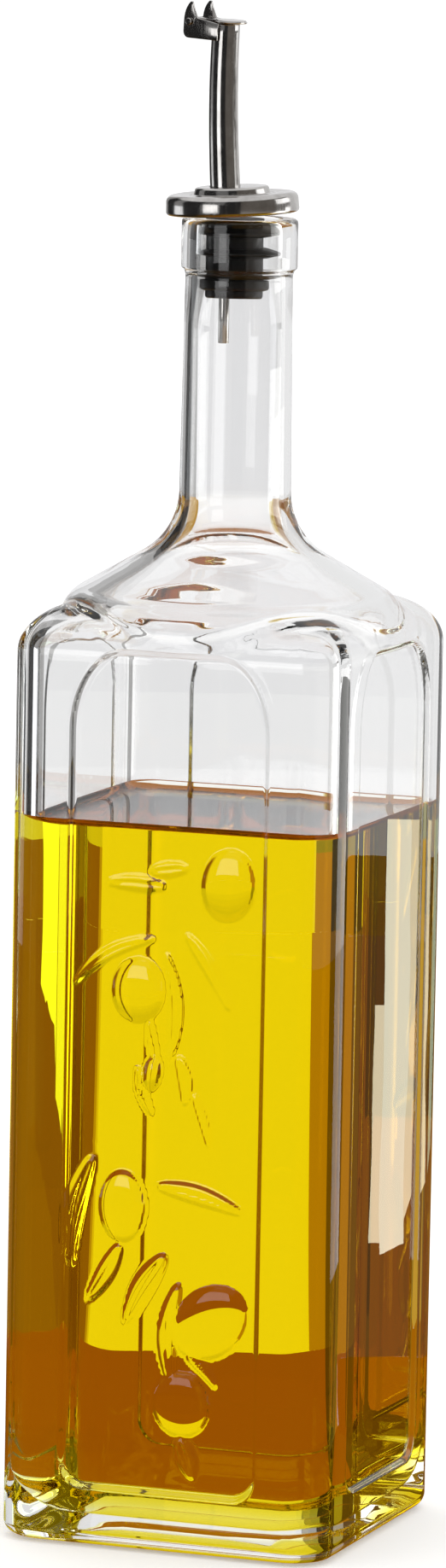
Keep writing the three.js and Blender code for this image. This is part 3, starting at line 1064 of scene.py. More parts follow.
@dataclass
class BottleGlass(Piece):
    """The square bottle: its outer skin with panels and branch, and its smooth inner skin."""

    node: str = "bottle_glass"
    slot: Slot = Slot.GLASS
    outer: Skin = Skin(OUTER_SHOULDER, corner=9, dome_rise=11, dome_run=14)
    inner: Skin = Skin(INNER_SHOULDER, corner=5.5, dome_rise=7, dome_run=10)
    heel: float = 3.3
    foot_half: float = 28
    foot_corner: float = 6
    push_up: tuple[Pair, ...] = ((0.0, 1.4), (12.0, 1.4), (22.0, 1.4), (26.0, 1.2))
    floor_halves: tuple[float, ...] = (20.0, 12.0, 5.0, 0.0)
    neck_top_radius: float = 11.8
    neck_top: float = 277.4
    ring_radius: float = 12.8
    ring_bottom: float = 279.6
    ring_middle: float = 284.5
    mouth_bore: float = 9.2
    mouth_levels: tuple[float, ...] = (287.0, 283.0, 278.0)
    bore_widened: float = 266
    bore_levels: tuple[float, ...] = (255.0, 244.0, 237.0)
    arch: Arch = Arch()
    panel_margin: float = 1
    panel_low: float = 10
    panel_high: float = 201
    column_top: float = 200
    fine_low: float = 19.5
    fine_high: float = 178
    fine_cell: float = 0.5
    coarse_rows: int = 40
    branch_blend: float = 0.12
    merge_reach: float = 0.004

    @property
    def edge(self) -> float:
        """Distance from a side's middle to the last column by its panel."""
        return self.arch.half + self.panel_margin

    def side_places(self, fine: bool) -> np.ndarray:
        """Where the columns of one side stand, measured along it from its middle.

        Args:
            fine: Whether the side carries the embossed branch.

        Returns:
            The places in order, from one end of the flat side to just before the other.
        """
        if fine:
            middle = np.arange(-self.edge, self.edge + 0.01, self.fine_cell)
        else:
            spans = ((0, 11, 1.8), (11, 19, 0.9), (19, self.edge, self.fine_cell))
            right = np.concatenate([*(np.arange(*span) for span in spans), [self.edge]])
            middle = np.concatenate([-right[:0:-1], right])
        outside = np.linspace(self.edge, self.outer.half - self.outer.corner, 4)[1:]
        return np.concatenate([-outside[::-1], middle, outside])

    def columns(self, skin: Skin, sides: Sequence[np.ndarray]) -> np.ndarray:
        """Directions of a skin's columns, all the way round and back to the first.

        Args:
            skin: The skin.
            sides: Where the columns of each side stand. The front is the last.

        Returns:
            The directions in radians.
        """
        centre = skin.half - skin.corner
        turns = np.linspace(0, math.pi / 2, 11)[1:-1]
        along = centre + skin.corner * np.sin(turns)
        rounds = np.arctan2(along, centre + skin.corner * np.cos(turns))
        angles: list[float] = []
        for side, places in enumerate(sides):
            facing = side * math.pi / 2
            angles.extend(facing + np.arctan2(places, skin.half))
            angles.extend(facing + rounds)
        angles.append(angles[0] + 2 * math.pi)
        return np.array(angles)

    def outer_rings(self) -> list[Ring]:
        """Levels of the outer skin, from the middle of the base to the rim.

        Returns:
            The levels in order.
        """
        shoulder = self.outer.shoulder
        grows = self.foot_corner / self.foot_half
        rings = [Ring(height, half, half * grows) for half, height in self.push_up]
        rings.append(Ring(0.35, self.foot_half - 0.5, self.foot_corner))
        rings.append(Ring(0.0, self.foot_half, self.foot_corner))
        for turn in np.radians(np.linspace(0, 90, 9)):
            inset = self.heel * (1 - math.sin(turn))
            height = self.heel * (1 - math.cos(turn))
            rings.append(Ring(height, self.outer.half - inset, self.outer.corner - inset / 2))
        low = stepped(5.5, (8, 1), (10, 1), (11.5, 1), (12, 1), (self.fine_low, 15))
        panel = stepped(low.pop(), (self.fine_high, self.coarse_rows), (self.column_top, 44))
        round_part = stepped(
            panel.pop(), (shoulder.bulge_top, 12), (shoulder.fillet_low, 4), (shoulder.fillet_top, 14)
        )
        rings += [Ring(height) for height in [*low, *panel, *round_part]]
        top = shoulder.fillet_top
        for share in np.linspace(0, 1, 8)[1:]:
            radius = shoulder.neck + (self.neck_top_radius - shoulder.neck) * share
            rings.append(Ring(top + (self.neck_top - top) * share, radius=radius))
        rings.append(Ring(self.ring_bottom - 1.1, radius=self.neck_top_radius + 0.1))
        rings.append(Ring(self.ring_bottom - 0.6, radius=self.neck_top_radius + 0.3))
        lower = rounded((self.ring_radius - 0.6, self.ring_bottom + 0.4), -70, 0, 0.6)
        upper = rounded((self.ring_radius - 1, GLASS_TOP - 1), 0, 90, 1, 5)
        for radius, height in [*lower, (self.ring_radius, self.ring_middle), *upper]:
            rings.append(Ring(height, radius=radius))
        return rings

    def inner_rings(self) -> list[Ring]:
        """Levels of the inner skin, from the mouth to the middle of the floor.

        Returns:
            The levels in order.
        """
        shoulder = self.inner.shoulder
        lip = rounded((self.mouth_bore + 0.5, GLASS_TOP - 0.5), 90, 180, 0.5)
        rings = [Ring(height, radius=radius) for radius, height in lip]
        rings += [Ring(height, radius=self.mouth_bore) for height in self.mouth_levels]
        start = self.mouth_levels[-1]
        for share in np.linspace(0, 1, 9)[1:]:
            eased = share**2 * (3 - 2 * share)
            radius = self.mouth_bore + (shoulder.neck - self.mouth_bore) * eased
            rings.append(Ring(start - (start - self.bore_widened) * share, radius=radius))
        rings += [Ring(height, radius=shoulder.neck) for height in self.bore_levels]
        round_part = ((shoulder.fillet_low, 14), (shoulder.bulge_top, 4))
        straight = ((self.inner.straight_top, 24), (CONTACT, 8), (FLOOR + FLOOR_ROUND, 8))
        heights = stepped(shoulder.fillet_top, *round_part, *straight)
        rings += [Ring(height) for height in heights]
        for turn in np.radians(np.linspace(90, 0, 11)[1:]):
            inset = FLOOR_ROUND * (1 - math.sin(turn))
            height = FLOOR + FLOOR_ROUND * (1 - math.cos(turn))
            rings.append(Ring(height, self.inner.half - inset, self.inner.corner - inset / 4))
        for half in self.floor_halves:
            rings.append(Ring(FLOOR, half, self.inner.corner * half / self.inner.half))
        return rings

    def sheet(
        self, skin: Skin, sides: Sequence[np.ndarray], rings: Sequence[Ring]
    ) -> bpy.types.Object:
        """Wraps a flat grid round the axis through a skin's levels.

        Args:
            skin: The skin whose form the plain levels follow.
            sides: Where the grid's columns stand on each side.
            rings: Levels of its rows.

        Returns:
            The wrapped grid, still open along its ends.
        """
        select_nothing()
        angles = self.columns(skin, sides)
        columns, rows = len(angles) - 1, len(rings) - 1
        bpy.ops.mesh.primitive_grid_add(x_subdivisions=columns, y_subdivisions=rows, size=1)
        piece = bpy.context.object
        if skin is self.outer:
            self.refine(piece, angles, rings)
        radii = np.empty((len(rings), len(angles)))
        for i, ring in enumerate(rings):
            if ring.radius:
                radii[i] = ring.radius
            elif ring.half or not i or i == len(rings) - 1:
                radii[i] = square_radius(angles, np.float64(ring.half), np.float64(ring.corner))
            else:
                radii[i] = skin.radii(angles, ring.height)
        heights = np.array([ring.height for ring in rings])
        points = points_of(piece)
        column = np.rint((points[:, 0] + 0.5) * columns).astype(int)
        row = np.clip((points[:, 1] + 0.5) * rows, 0, rows)
        low = np.minimum(np.floor(row + 1e-4).astype(int), rows)
        high = np.minimum(low + 1, rows)
        share = np.clip(row - low, 0, 1)
        radius = radii[low, column] * (1 - share) + radii[high, column] * share
        height = heights[low] * (1 - share) + heights[high] * share
        angle = angles[column]
        placed = np.stack([radius * np.cos(angle), radius * np.sin(angle), height], axis=1)
        place_points(piece, placed * MM)
        return piece

    def refine(self, piece: bpy.types.Object, angles: np.ndarray, rings: Sequence[Ring]) -> None:
        """Divides the rows of the flat grid where the branch will stand.

        Args:
            piece: The flat grid.
            angles: Directions of its columns.
            rings: Levels of its rows.
        """
        columns, rows = len(angles) - 1, len(rings) - 1
        facing = FRONT * math.pi / 2
        reach = math.atan2(self.edge + 0.01, self.outer.half)
        front = np.abs(angles - facing) < reach
        heights = np.array([ring.height for ring in rings])
        tall = (heights > self.fine_low - 0.01) & (heights < self.fine_high + 0.01)
        points = points_of(piece)
        column = np.rint((points[:, 0] + 0.5) * columns).astype(int)
        row = np.rint((points[:, 1] + 0.5) * rows).astype(int)
        inside = front[column] & tall[row]
        ends = np.empty(len(piece.data.edges) * 2, np.int32)
        piece.data.edges.foreach_get("vertices", ends)
        first, second = ends.reshape(-1, 2).T
        wanted = inside[first] & inside[second] & (column[first] == column[second])
        cell = (self.fine_high - self.fine_low) / self.coarse_rows
        select_by(piece, "EDGE", wanted)
        bpy.ops.mesh.subdivide(number_cuts=round(cell / self.fine_cell) - 1)
        stop_editing()

    def emboss(self, piece: bpy.types.Object) -> None:
        """Sinks the arched panels into the four sides and raises the branch on the front one.

        Args:
            piece: The outer skin.
        """
        points = points_of(piece) / MM
        angle = np.arctan2(points[:, 1], points[:, 0])
        reach = math.atan2(self.edge, self.outer.half)
        for side in range(4):
            facing = side * math.pi / 2
            off = np.abs((angle - facing + math.pi) % (2 * math.pi) - math.pi)
            here = (off < reach) & (points[:, 2] > self.panel_low) & (points[:, 2] < self.panel_high)
            normal = np.array([math.cos(facing), math.sin(facing)])
            across = points[here, 0] * -normal[1] + points[here, 1] * normal[0]
            depth = self.arch.sunk(across, points[here, 2])
            if side == FRONT:
                depth = depth - self.branch(points[here, 0], points[here, 2])
            points[here, :2] -= depth[:, None] * normal
        place_points(piece, points * MM)

    def branch(self, x: np.ndarray, z: np.ndarray) -> np.ndarray:
        """Height of the embossed branch over the front panel.

        Args:
            x: Places across the front side.
            z: Their heights above the foot.

        Returns:
            The heights, 0 outside the branch.
        """
        raised = np.zeros_like(x)
        for part in (*STEMS, *LEAVES, *OLIVES):
            raised = soft_max(part.relief(x, z), raised, self.branch_blend) - self.branch_blend / 4
            raised = np.maximum(raised, 0)
        return raised

    def model(self) -> bpy.types.Object:
        """Models the bottle.

        Returns:
            The bottle.
        """
        sides = [self.side_places(fine=side == FRONT) for side in range(4)]
        outside = self.sheet(self.outer, sides, self.outer_rings())
        self.emboss(outside)
        end = self.inner.half - self.inner.corner
        inside = self.sheet(self.inner, [np.linspace(-end, end, 15)] * 4, self.inner_rings())
        piece = join([outside, inside])
        start_editing(piece)
        bpy.ops.mesh.remove_doubles(threshold=self.merge_reach * MM)
        select_open_edges()
        bpy.ops.mesh.bridge_edge_loops()
        bpy.ops.mesh.select_all(action="SELECT")
        bpy.ops.mesh.normals_make_consistent(inside=False)
        stop_editing()
        self.mark_wet(piece)
        pick(piece)
        bpy.ops.object.shade_smooth()
        return piece

    def mark_wet(self, piece: bpy.types.Object) -> None:
        """Marks the inner faces that the oil covers.

        Args:
            piece: The bottle.
        """
        x, y, z = face_values(piece, "center").T / MM
        inside = np.maximum(np.abs(x), np.abs(y)) < self.inner.half + 0.1
        mark_faces(piece, inside & (z > FLOOR - 0.1) & (z < CONTACT))


@dataclass
class OilFill(Piece):
    """The oil, which reaches just into the wall and climbs it in a meniscus."""

    node: str = "oil"
    slot: Slot = Slot.OIL
    into_wall: float = 0.2
    corner: float = 5.7
    corner_segments: int = 12
    fall_length: float = 1.7
    gaps: tuple[float, ...] = (8.0, 6.0, 4.5, 3.3, 2.4, 1.7, 1.1, 0.7, 0.35, 0.0)
    least_rise: float = 0.05
    smooth_angle: float = 50

    def model(self) -> bpy.types.Object:
        """Models the oil from a plane by extruding its outline down the wall and over the floor.

        Returns:
            The oil.
        """
        half = BODY_HALF - WALL + self.into_wall
        select_nothing()
        bpy.ops.mesh.primitive_plane_add(size=2 * half * MM, location=(0, 0, OIL_LEVEL * MM))
        piece = bpy.context.object
        start_editing(piece)
        bpy.ops.mesh.bevel(offset=self.corner * MM, affect="VERTICES", segments=self.corner_segments)
        levels: list[Pair] = []
        for gap in self.gaps:
            climb = MENISCUS_RISE * math.exp(-gap / self.fall_length) if gap < self.gaps[0] else 0
            levels.append((half - self.into_wall - gap, OIL_LEVEL + climb))
        levels.append((half, CONTACT))
        levels += [(half, z) for z in np.linspace(CONTACT, FLOOR + FLOOR_ROUND, 6)[1:]]
        for turn in np.radians(np.linspace(90, 0, 9)[1:]):
            inset = FLOOR_ROUND * (1 - math.sin(turn))
            low = FLOOR - self.into_wall + FLOOR_ROUND * (1 - math.cos(turn))
            levels.append((half - inset, low))
        first = levels[0][0] / half
        bpy.ops.transform.resize(value=(first, first, 1), center_override=(0, 0, OIL_LEVEL * MM))
        extrude_through(levels)
        stop_editing()
        bpy.ops.object.transform_apply(location=True, rotation=True, scale=True)
        start_editing(piece)
        select_open_edges()
        bpy.ops.mesh.edge_face_add()
        stop_editing()
        close_skin(piece)
        facing_up = face_values(piece, "normal")[:, 2] > self.least_rise
        high = face_values(piece, "center")[:, 2] / MM > OIL_LEVEL - 0.5
        mark_faces(piece, ~(facing_up & high))
        smooth(piece, self.smooth_angle)
        return piece


POUR_YAW = math.radians(-13.9)
POUR_AXIS = Vector((math.cos(POUR_YAW), math.sin(POUR_YAW), 0))


def slide(piece: bpy.types.Object, shift: float) -> None:
    """Moves a piece along the pourer's line by some millimetres."""
    piece.data.transform(Matrix.Translation(POUR_AXIS * shift * MM))


@dataclass
class Stopper(Piece):
    """The rubber stopper: a core off the neck's axis, three fins and a collar."""

    node: str = "stopper"
    slot: Slot = Slot.RUBBER
    bottom: float = 273.5
    top: float = 290.4
    core: float = 6.4
    edge: float = 0.7
    end_radius: float = 3.4
    shift: float = -1.3
    collar: float = 7.7
    collar_edge: float = 0.6
    collar_bottom: float = 275.3
    collar_top: float = 277.7
    fin_start: float = 2.0
    fin_radius: float = 9.15
    fin_tip: float = 0.3
    fin_root: float = 0.95
    fin_levels: tuple[float, ...] = (287.4, 283.1, 278.8)

    def model(self) -> bpy.types.Object:
        """Models the core and its fins.

        Returns:
            The stopper.
        """
        collar = self.collar - self.collar_edge
        profile = [(self.end_radius, self.bottom)]
        profile += rounded((self.core - self.edge, self.bottom + self.edge), -90, 0, self.edge)
        profile += [(self.core, self.collar_bottom - 0.2)]
        profile += rounded((collar, self.collar_bottom + self.collar_edge), -80, 0, self.collar_edge)
        profile += rounded((collar, self.collar_top - self.collar_edge), 0, 80, self.collar_edge)
        profile += [(self.core + 0.1, self.collar_top + 0.1), (self.core, self.collar_top + 0.4)]
        profile += [(self.core, self.top), (self.end_radius, self.top)]
        piece = turned(profile)
        slide(piece, self.shift)
        inside = (self.fin_start, self.core - 0.2)
        for level in self.fin_levels:
            low = [(radius, level - self.fin_root) for radius in inside]
            tip = rounded((self.fin_radius - self.fin_tip, level), -80, 80, self.fin_tip)
            high = [(radius, level + self.fin_root) for radius in reversed(inside)]
            combine(piece, turned([*low, *tip, *high]), Solid.ADD)
        smooth(piece)
        return piece


@dataclass
class PourSpout(Piece):
    """The steel spout, a thin tube that bows away from the side it pours to."""

    node: str = "pour_spout"
    bottom: float = 291.4
    top: float = 332.7
    shift: float = -3.7
    bow: float = -1.3
    bow_span: float = 55
    low_radius: float = 3.4
    top_radius: float = 3.05
    wall: float = 0.45
    lip: float = 0.2

    def centre(self, height: float) -> Vector:
        """The spout's centre at a height, in millimetres.

        Args:
            height: The height above the foot.

        Returns:
            Its x, y and z.
        """
        bow = self.bow * math.sin(math.pi * (height - self.bottom) / self.bow_span)
        place = POUR_AXIS * (self.shift + bow)
        place.z = height
        return place

    def model(self) -> bpy.types.Object:
        """Models the tube straight, then bends it.

        Returns:
            The spout.
        """
        span = self.top - self.bottom
        slim = (self.top_radius - self.low_radius) / span
        outside = [
            (self.low_radius + slim * span * share, self.bottom + (span - self.lip) * share)
            for share in np.linspace(0, 1, 25)
        ]
        bore = self.top_radius - self.wall
        lip = [(self.top_radius - 0.08, self.top - 0.06), (self.top_radius - 0.2, self.top)]
        lip += [(bore + 0.1, self.top), (bore, self.top - 0.1)]
        inside = [(radius - self.wall, height) for radius, height in reversed(outside)]
        piece = turned([*outside, *lip, *inside], sides=48, closes=True)
        points = points_of(piece)
        for point in points:
            centre = self.centre(point[2] / MM) * MM
            point[:2] += centre[:2]
        place_points(piece, points)
        smooth(piece)
        return piece


@dataclass
class AirTube(Piece):
    """The thin tube that lets air in under the stopper."""

    node: str = "air_tube"
    radius: float = 1.2
    wall: float = 0.3
    bottom: float = 262.9
    top: float = 273.6
    shift: float = -3.9

    def model(self) -> bpy.types.Object:
        """Models the tube with a rounded lower lip.

        Returns:
            The tube.
        """
        bore = self.radius - self.wall
        middle = (bore + self.radius) / 2
        half = self.wall / 2
        lip = rounded((middle, self.bottom + half), -180, 0, half)
        piece = turned([*lip, (self.radius, self.top), (bore, self.top)], sides=32, closes=True)
        slide(piece, self.shift)
        smooth(piece)
        return piece


@dataclass
class CapDisc(Piece):
    """The steel disc over the mouth, with a rolled rim and a low boss round the spout."""

    node: str = "cap_disc"
    base: float = 291.5
    shift: float = -2
    radius: float = 14.6
    boss: float = 8.2
    boss_top: float = 5.9
    lean_axis: Vector = field(default_factory=lambda: Vector((0.345, -0.938, 0)).normalized())
    lean: float = math.radians(3)
    spout: PourSpout = field(default_factory=PourSpout)
    hole_gap: float = 0.06
    hole_shift: float = -0.5
    hole_span: Pair = (288.0, 301.0)

    def model(self) -> bpy.types.Object:
        """Models the disc upright, leans it and pierces it for the spout.

        Returns:
            The disc.
        """
        profile = [(4.0, 0.55), (11.0, 0.55), (11.9, 0.3), (12.7, 0.0)]
        profile += rounded((self.radius - 0.75, 0.75), -90, 0, 0.8)
        profile += [(self.radius - 0.05, 2.4)]
        profile += rounded((self.radius - 1.6, 2.9), 10, 95, 1.55, 6)
        profile += [(11.4, 4.28), (10.2, 4.1), (self.boss + 0.7, 4.15), (self.boss + 0.25, 4.4)]
        profile += rounded((self.boss - 0.7, self.boss_top - 0.7), 0, 90, 0.7, 5)
        profile += [(6.6, self.boss_top), (6.2, self.boss_top - 0.05)]
        piece = turned(profile, sides=96)
        place = POUR_AXIS * self.shift
        place.z = self.base
        lean = Matrix.Rotation(self.lean, 4, self.lean_axis)
        piece.data.transform(Matrix.Translation(place * MM) @ lean)
        hole_radius = self.spout.low_radius + self.hole_gap
        hole = turned([(hole_radius, height) for height in self.hole_span], sides=48)
        slide(hole, self.spout.shift + self.hole_shift)
        combine(piece, hole, Solid.CUT)
        smooth(piece)
        return piece


@dataclass
class Mouth:
    """The frame at the spout's mouth that the hinge pieces are laid out in."""

    spout: PourSpout = field(default_factory=PourSpout)
    lean: float = math.radians(3)
    pin_x: float = -7
    pin_z: float = 0

    def place(self) -> Matrix:
        """From the hinge's own frame, in metres, to the row's.

        Returns:
            The matrix that takes points there.
        """
        centre = self.spout.centre(self.spout.top) * MM
        turn = Matrix.Rotation(POUR_YAW, 4, "Z") @ Matrix.Rotation(self.lean, 4, "Y")
        return Matrix.Translation(centre) @ turn


@dataclass
class HingePiece(Piece):
    """A piece that is laid out in the frame at the spout's mouth."""

    mouth: Mouth = field(default_factory=Mouth)

    def join_up(self, parts: Sequence[bpy.types.Object]) -> bpy.types.Object:
        """Joins the parts, smooths them and takes them to the row's frame.

        Args:
            parts: The modelled parts.

        Returns:
            The piece.
        """
        piece = join(parts)
        smooth(piece)
        piece.data.transform(self.mouth.place())
        return piece


@dataclass
class HingeBracket(HingePiece):
    """The folded bracket behind the mouth: two eared side plates and a web."""

    node: str = "hinge_bracket"
    inner: float = 3.35
    thickness: float = 0.55
    end: float = -8.65
    low: float = -3.6
    high: float = 0.9
    corner: float = 1.4
    ear_front: float = -5.7
    ear_tip: Pair = (-6.9, 4.4)
    web_x: float = -3.95
    web_thick: float = 0.5
    web_high: float = -0.3
    web_overlap: float = 0.2
    eye: float = 0.5

    def outline(self) -> list[Pair]:
        """The side plate's outline, anticlockwise from its low front corner.

        Returns:
            x and z of each point.
        """
        front = self.ear_front
        tip_x, tip_z = self.ear_tip
        points = [(0.4, self.low), (0.4, self.high - 0.8), (front + 0.6, self.high)]
        points += curve_between(points[-1], (front - 0.4, self.high + 1.6), (tip_x + 0.3, tip_z))
        points.append((tip_x - 0.2, tip_z))
        points += curve_between(points[-1], (self.end, self.high + 2), (self.end, 0))
        corner = (self.end + self.corner, self.low + self.corner)
        points += rounded(corner, 180, 270, self.corner, 6)
        return points

    def model(self) -> bpy.types.Object:
        """Models both plates and the web between them.

        Returns:
            The bracket.
        """
        plates = []
        for first_face in (self.inner, -self.inner - self.thickness):
            plate = outline_plate(self.outline(), first_face, self.thickness)
            combine(plate, cross_rod(self.eye, self.inner + 2, self.mouth), Solid.CUT)
            plates.append(plate)
        half = self.web_thick / 2
        web_outline = rectangle(self.web_x - half, self.web_x + half, self.low, self.web_high)
        reach = self.inner + self.web_overlap
        web = outline_plate(web_outline, -reach, 2 * reach)
        return self.join_up([*plates, web])


def cross_rod(
    radius: float, half_length: float, mouth: Mouth, edge: float = 0.05
) -> bpy.types.Object:
    """A rounded rod along Y on the pin's line, in the hinge's own frame.

    Args:
        radius: Its radius.
        half_length: Half its length.
        mouth: The hinge's frame.
        edge: Radius of its end edges.

    Returns:
        The rod.
    """
    low = rounded((radius - edge, edge - half_length), -90, 0, edge, 3)
    high = rounded((radius - edge, half_length - edge), 0, 90, edge, 3)
    rod = turned([*low, *high], sides=24)
    lay = Matrix.Rotation(math.radians(90), 4, "X")
    rod.data.transform(Matrix.Translation((mouth.pin_x * MM, 0, mouth.pin_z * MM)) @ lay)
    return rod


@dataclass
class HingePin(HingePiece):
    """The pin through the ears, with a low round head at each end."""

    node: str = "hinge_pin"
    radius: float = 0.35
    head_radius: float = 0.8
    head_thick: float = 0.4
    head_edge: float = 0.18
    reach: float = 4.2

    def model(self) -> bpy.types.Object:
        """Models the shaft and its heads.

        Returns:
            The pin.
        """
        parts = [cross_rod(self.radius, self.reach + 0.1, self.mouth)]
        for side in (-1, 1):
            head = cross_rod(self.head_radius, self.head_thick / 2, self.mouth, self.head_edge)
            shift = side * (self.reach + self.head_thick / 2)
            head.data.transform(Matrix.Translation((0, shift * MM, 0)))
            parts.append(head)
        return self.join_up(parts)


@dataclass
class FlapLid(HingePiece):
    """The lid: a shallow pressed disc, its tongue and the barrel rolled round the pin."""

    node: str = "flap_lid"
    body: Body = Body.FLAP
    radius: float = 3.6
    low: float = 0.3
    thick: float = 0.7
    edge: float = 0.3
    top_radii: tuple[float, ...] = (2.4, 1.2)
    disc_x: float = 1.2
    tongue_half: float = 2.2
    barrel: float = 1.0
    barrel_half: float = 2.9
    barrel_edge: float = 0.15
    bore: float = 0.6

    def model(self) -> bpy.types.Object:
        """Models the disc, the tongue and the barrel.

        Returns:
            The lid.
        """
        high = self.low + self.thick
        rim = rounded((self.radius - self.edge, self.low + self.edge), -90, 0, self.edge)
        crown = rounded((self.radius - self.edge - 0.2, high - self.edge), 0, 90, self.edge)
        top = [(radius, high) for radius in self.top_radii]
        disc = turned([(1.0, self.low), *rim, *crown, *top], sides=48)
        disc.data.transform(Matrix.Translation((self.disc_x * MM, 0, 0)))
        outline = rectangle(self.mouth.pin_x, self.disc_x, self.low + 0.05, high - 0.1)
        tongue = outline_plate(outline, -self.tongue_half, 2 * self.tongue_half)
        barrel = cross_rod(self.barrel, self.barrel_half, self.mouth, self.barrel_edge)
        for part in (tongue, barrel):
            combine(part, cross_rod(self.bore, self.barrel_half + 1, self.mouth), Solid.CUT)
        return self.join_up([disc, tongue, barrel])


# Studio


SCREEN_RADIUS = 900
SCREEN_TOP = 900
SCREEN_STEP = 5
STRIP_RADIUS = 320
STRIP_TOP = 118
TABLE_HEIGHT = -0.2
TABLE_EDGE = 215


@dataclass(frozen=True)
class Screen:
    """A curved studio screen that glass and steel see and the camera doesn't.

    It spans two directions, measured from straight behind the object towards the camera's right,
    and runs from one radius and height to another: a wall, a table or a ceiling. Its lower edge
    can be slanted, and is then higher at the start by that many millimetres.
    """

    name: str
    colour: Colour
    start: float
    end: float
    low: Pair
    high: Pair
    slant: float = 0

    def build(self, view_azimuth: float) -> bpy.types.Object:
        """Stands the screen in the studio.

        Args:
            view_azimuth: Direction of the camera round the object, in degrees.

        Returns:
            The screen.
        """
        select_nothing()
        steps = max(1, round((self.end - self.start) / SCREEN_STEP))
        bpy.ops.mesh.primitive_grid_add(x_subdivisions=steps, y_subdivisions=1, size=1)
        screen = bpy.context.object
        screen.name = self.name
        places = points_of(screen) + 0.5
        turns = np.radians(view_azimuth + 90 - self.start - (self.end - self.start) * places[:, 0])
        radius = self.low[0] + (self.high[0] - self.low[0]) * places[:, 1]
        height = self.low[1] + (self.high[1] - self.low[1]) * places[:, 1]
        height = height + self.slant * (1 - places[:, 0]) * (1 - places[:, 1])
        curved = np.stack([radius * np.cos(turns), radius * np.sin(turns), height], axis=1)
        place_points(screen, curved * MM)
        light = Plain(self.name, self.colour, 1.0).material()
        light.cycles.emission_sampling = "NONE"
        screen.data.materials.append(light)
        for kind in Unseen:
            setattr(screen, kind.value, False)
        return screen


def wall(
    name: str,
    colour: Colour,
    start: float,
    end: float,
    low: float = TABLE_HEIGHT,
    high: float = SCREEN_TOP,
) -> Screen:
    """An upright screen at the edge of the studio.

    Args:
        name: Its name.
        colour: The light that it gives.
        start: The direction of its left edge.
        end: The direction of its right edge.
        low: Height of its lower edge.
        high: Height of its upper edge.

    Returns:
        The screen.
    """
    return Screen(name, colour, start, end, (SCREEN_RADIUS, low), (SCREEN_RADIUS, high))


def strip(
    name: str,
    colour: Colour,
    start: float,
    end: float,
    low: float,
    slant: float = 0,
    high: float = STRIP_TOP,
) -> Screen:
    """An upright strip of light that stands nearer than the walls.

    Args:
        name: Its name.
        colour: The light that it gives.
        start: The direction of its left edge.
        end: The direction of its right edge.
        low: Height of its lower edge.
        slant: How much higher the lower edge is at the start.
        high: Height of its upper edge.

    Returns:
        The screen.
    """
    return Screen(name, colour, start, end, (STRIP_RADIUS, low), (STRIP_RADIUS, high), slant)


def table(
    name: str, colour: Colour, start: float, end: float, near: float, far: float = SCREEN_RADIUS
) -> Screen:
    """A screen that lies where a table would reflect the room.

    Args:
        name: Its name.
        colour: The light that it gives.
        start: The direction of its left edge.
        end: The direction of its right edge.
        near: Distance of its near edge from the object's middle.
        far: Distance of its far edge.

    Returns:
        The screen.
    """
    return Screen(name, colour, start, end, (near, TABLE_HEIGHT), (far, TABLE_HEIGHT))


@dataclass
class PhotoCamera:
    """The camera at the photograph's viewing angle."""

    azimuth: float = 20.202
    pitch: float = 7.637
    roll: float = 1.074
    distance: float = 1900
    focal_pixels: float = 10084.1
    aim_right: float = -1.451
    aim_height: float = 165.521
    sensor: float = 36
    nearest: float = 0.05
    farthest: float = 50

    def build(self) -> bpy.types.Object:
        """Places the camera.

        Returns:
            The camera.
        """
        a, e, r = (math.radians(x) for x in (self.azimuth, self.pitch, self.roll))
        right = Vector((math.cos(a), math.sin(a), 0))
        ahead = Vector((-math.sin(a) * math.cos(e), math.cos(a) * math.cos(e), -math.sin(e)))
        up = right.cross(ahead)
        target = right * self.aim_right + Vector((0, 0, self.aim_height))
        place = (target - ahead * self.distance) * MM
        rolled_right = right * math.cos(r) + up * math.sin(r)
        rolled_up = up * math.cos(r) - right * math.sin(r)
        turn = Matrix((rolled_right, rolled_up, -ahead)).transposed().to_4x4()
        data = bpy.data.cameras.new("photo camera")
        data.sensor_width = self.sensor
        data.lens = self.focal_pixels / PHOTO_HEIGHT * self.sensor
        data.clip_start = self.nearest
        data.clip_end = self.farthest
        camera = bpy.data.objects.new("photo camera", data)
        camera.matrix_world = Matrix.Translation(place) @ turn
        bpy.context.scene.collection.objects.link(camera)
        bpy.context.scene.camera = camera
        return camera


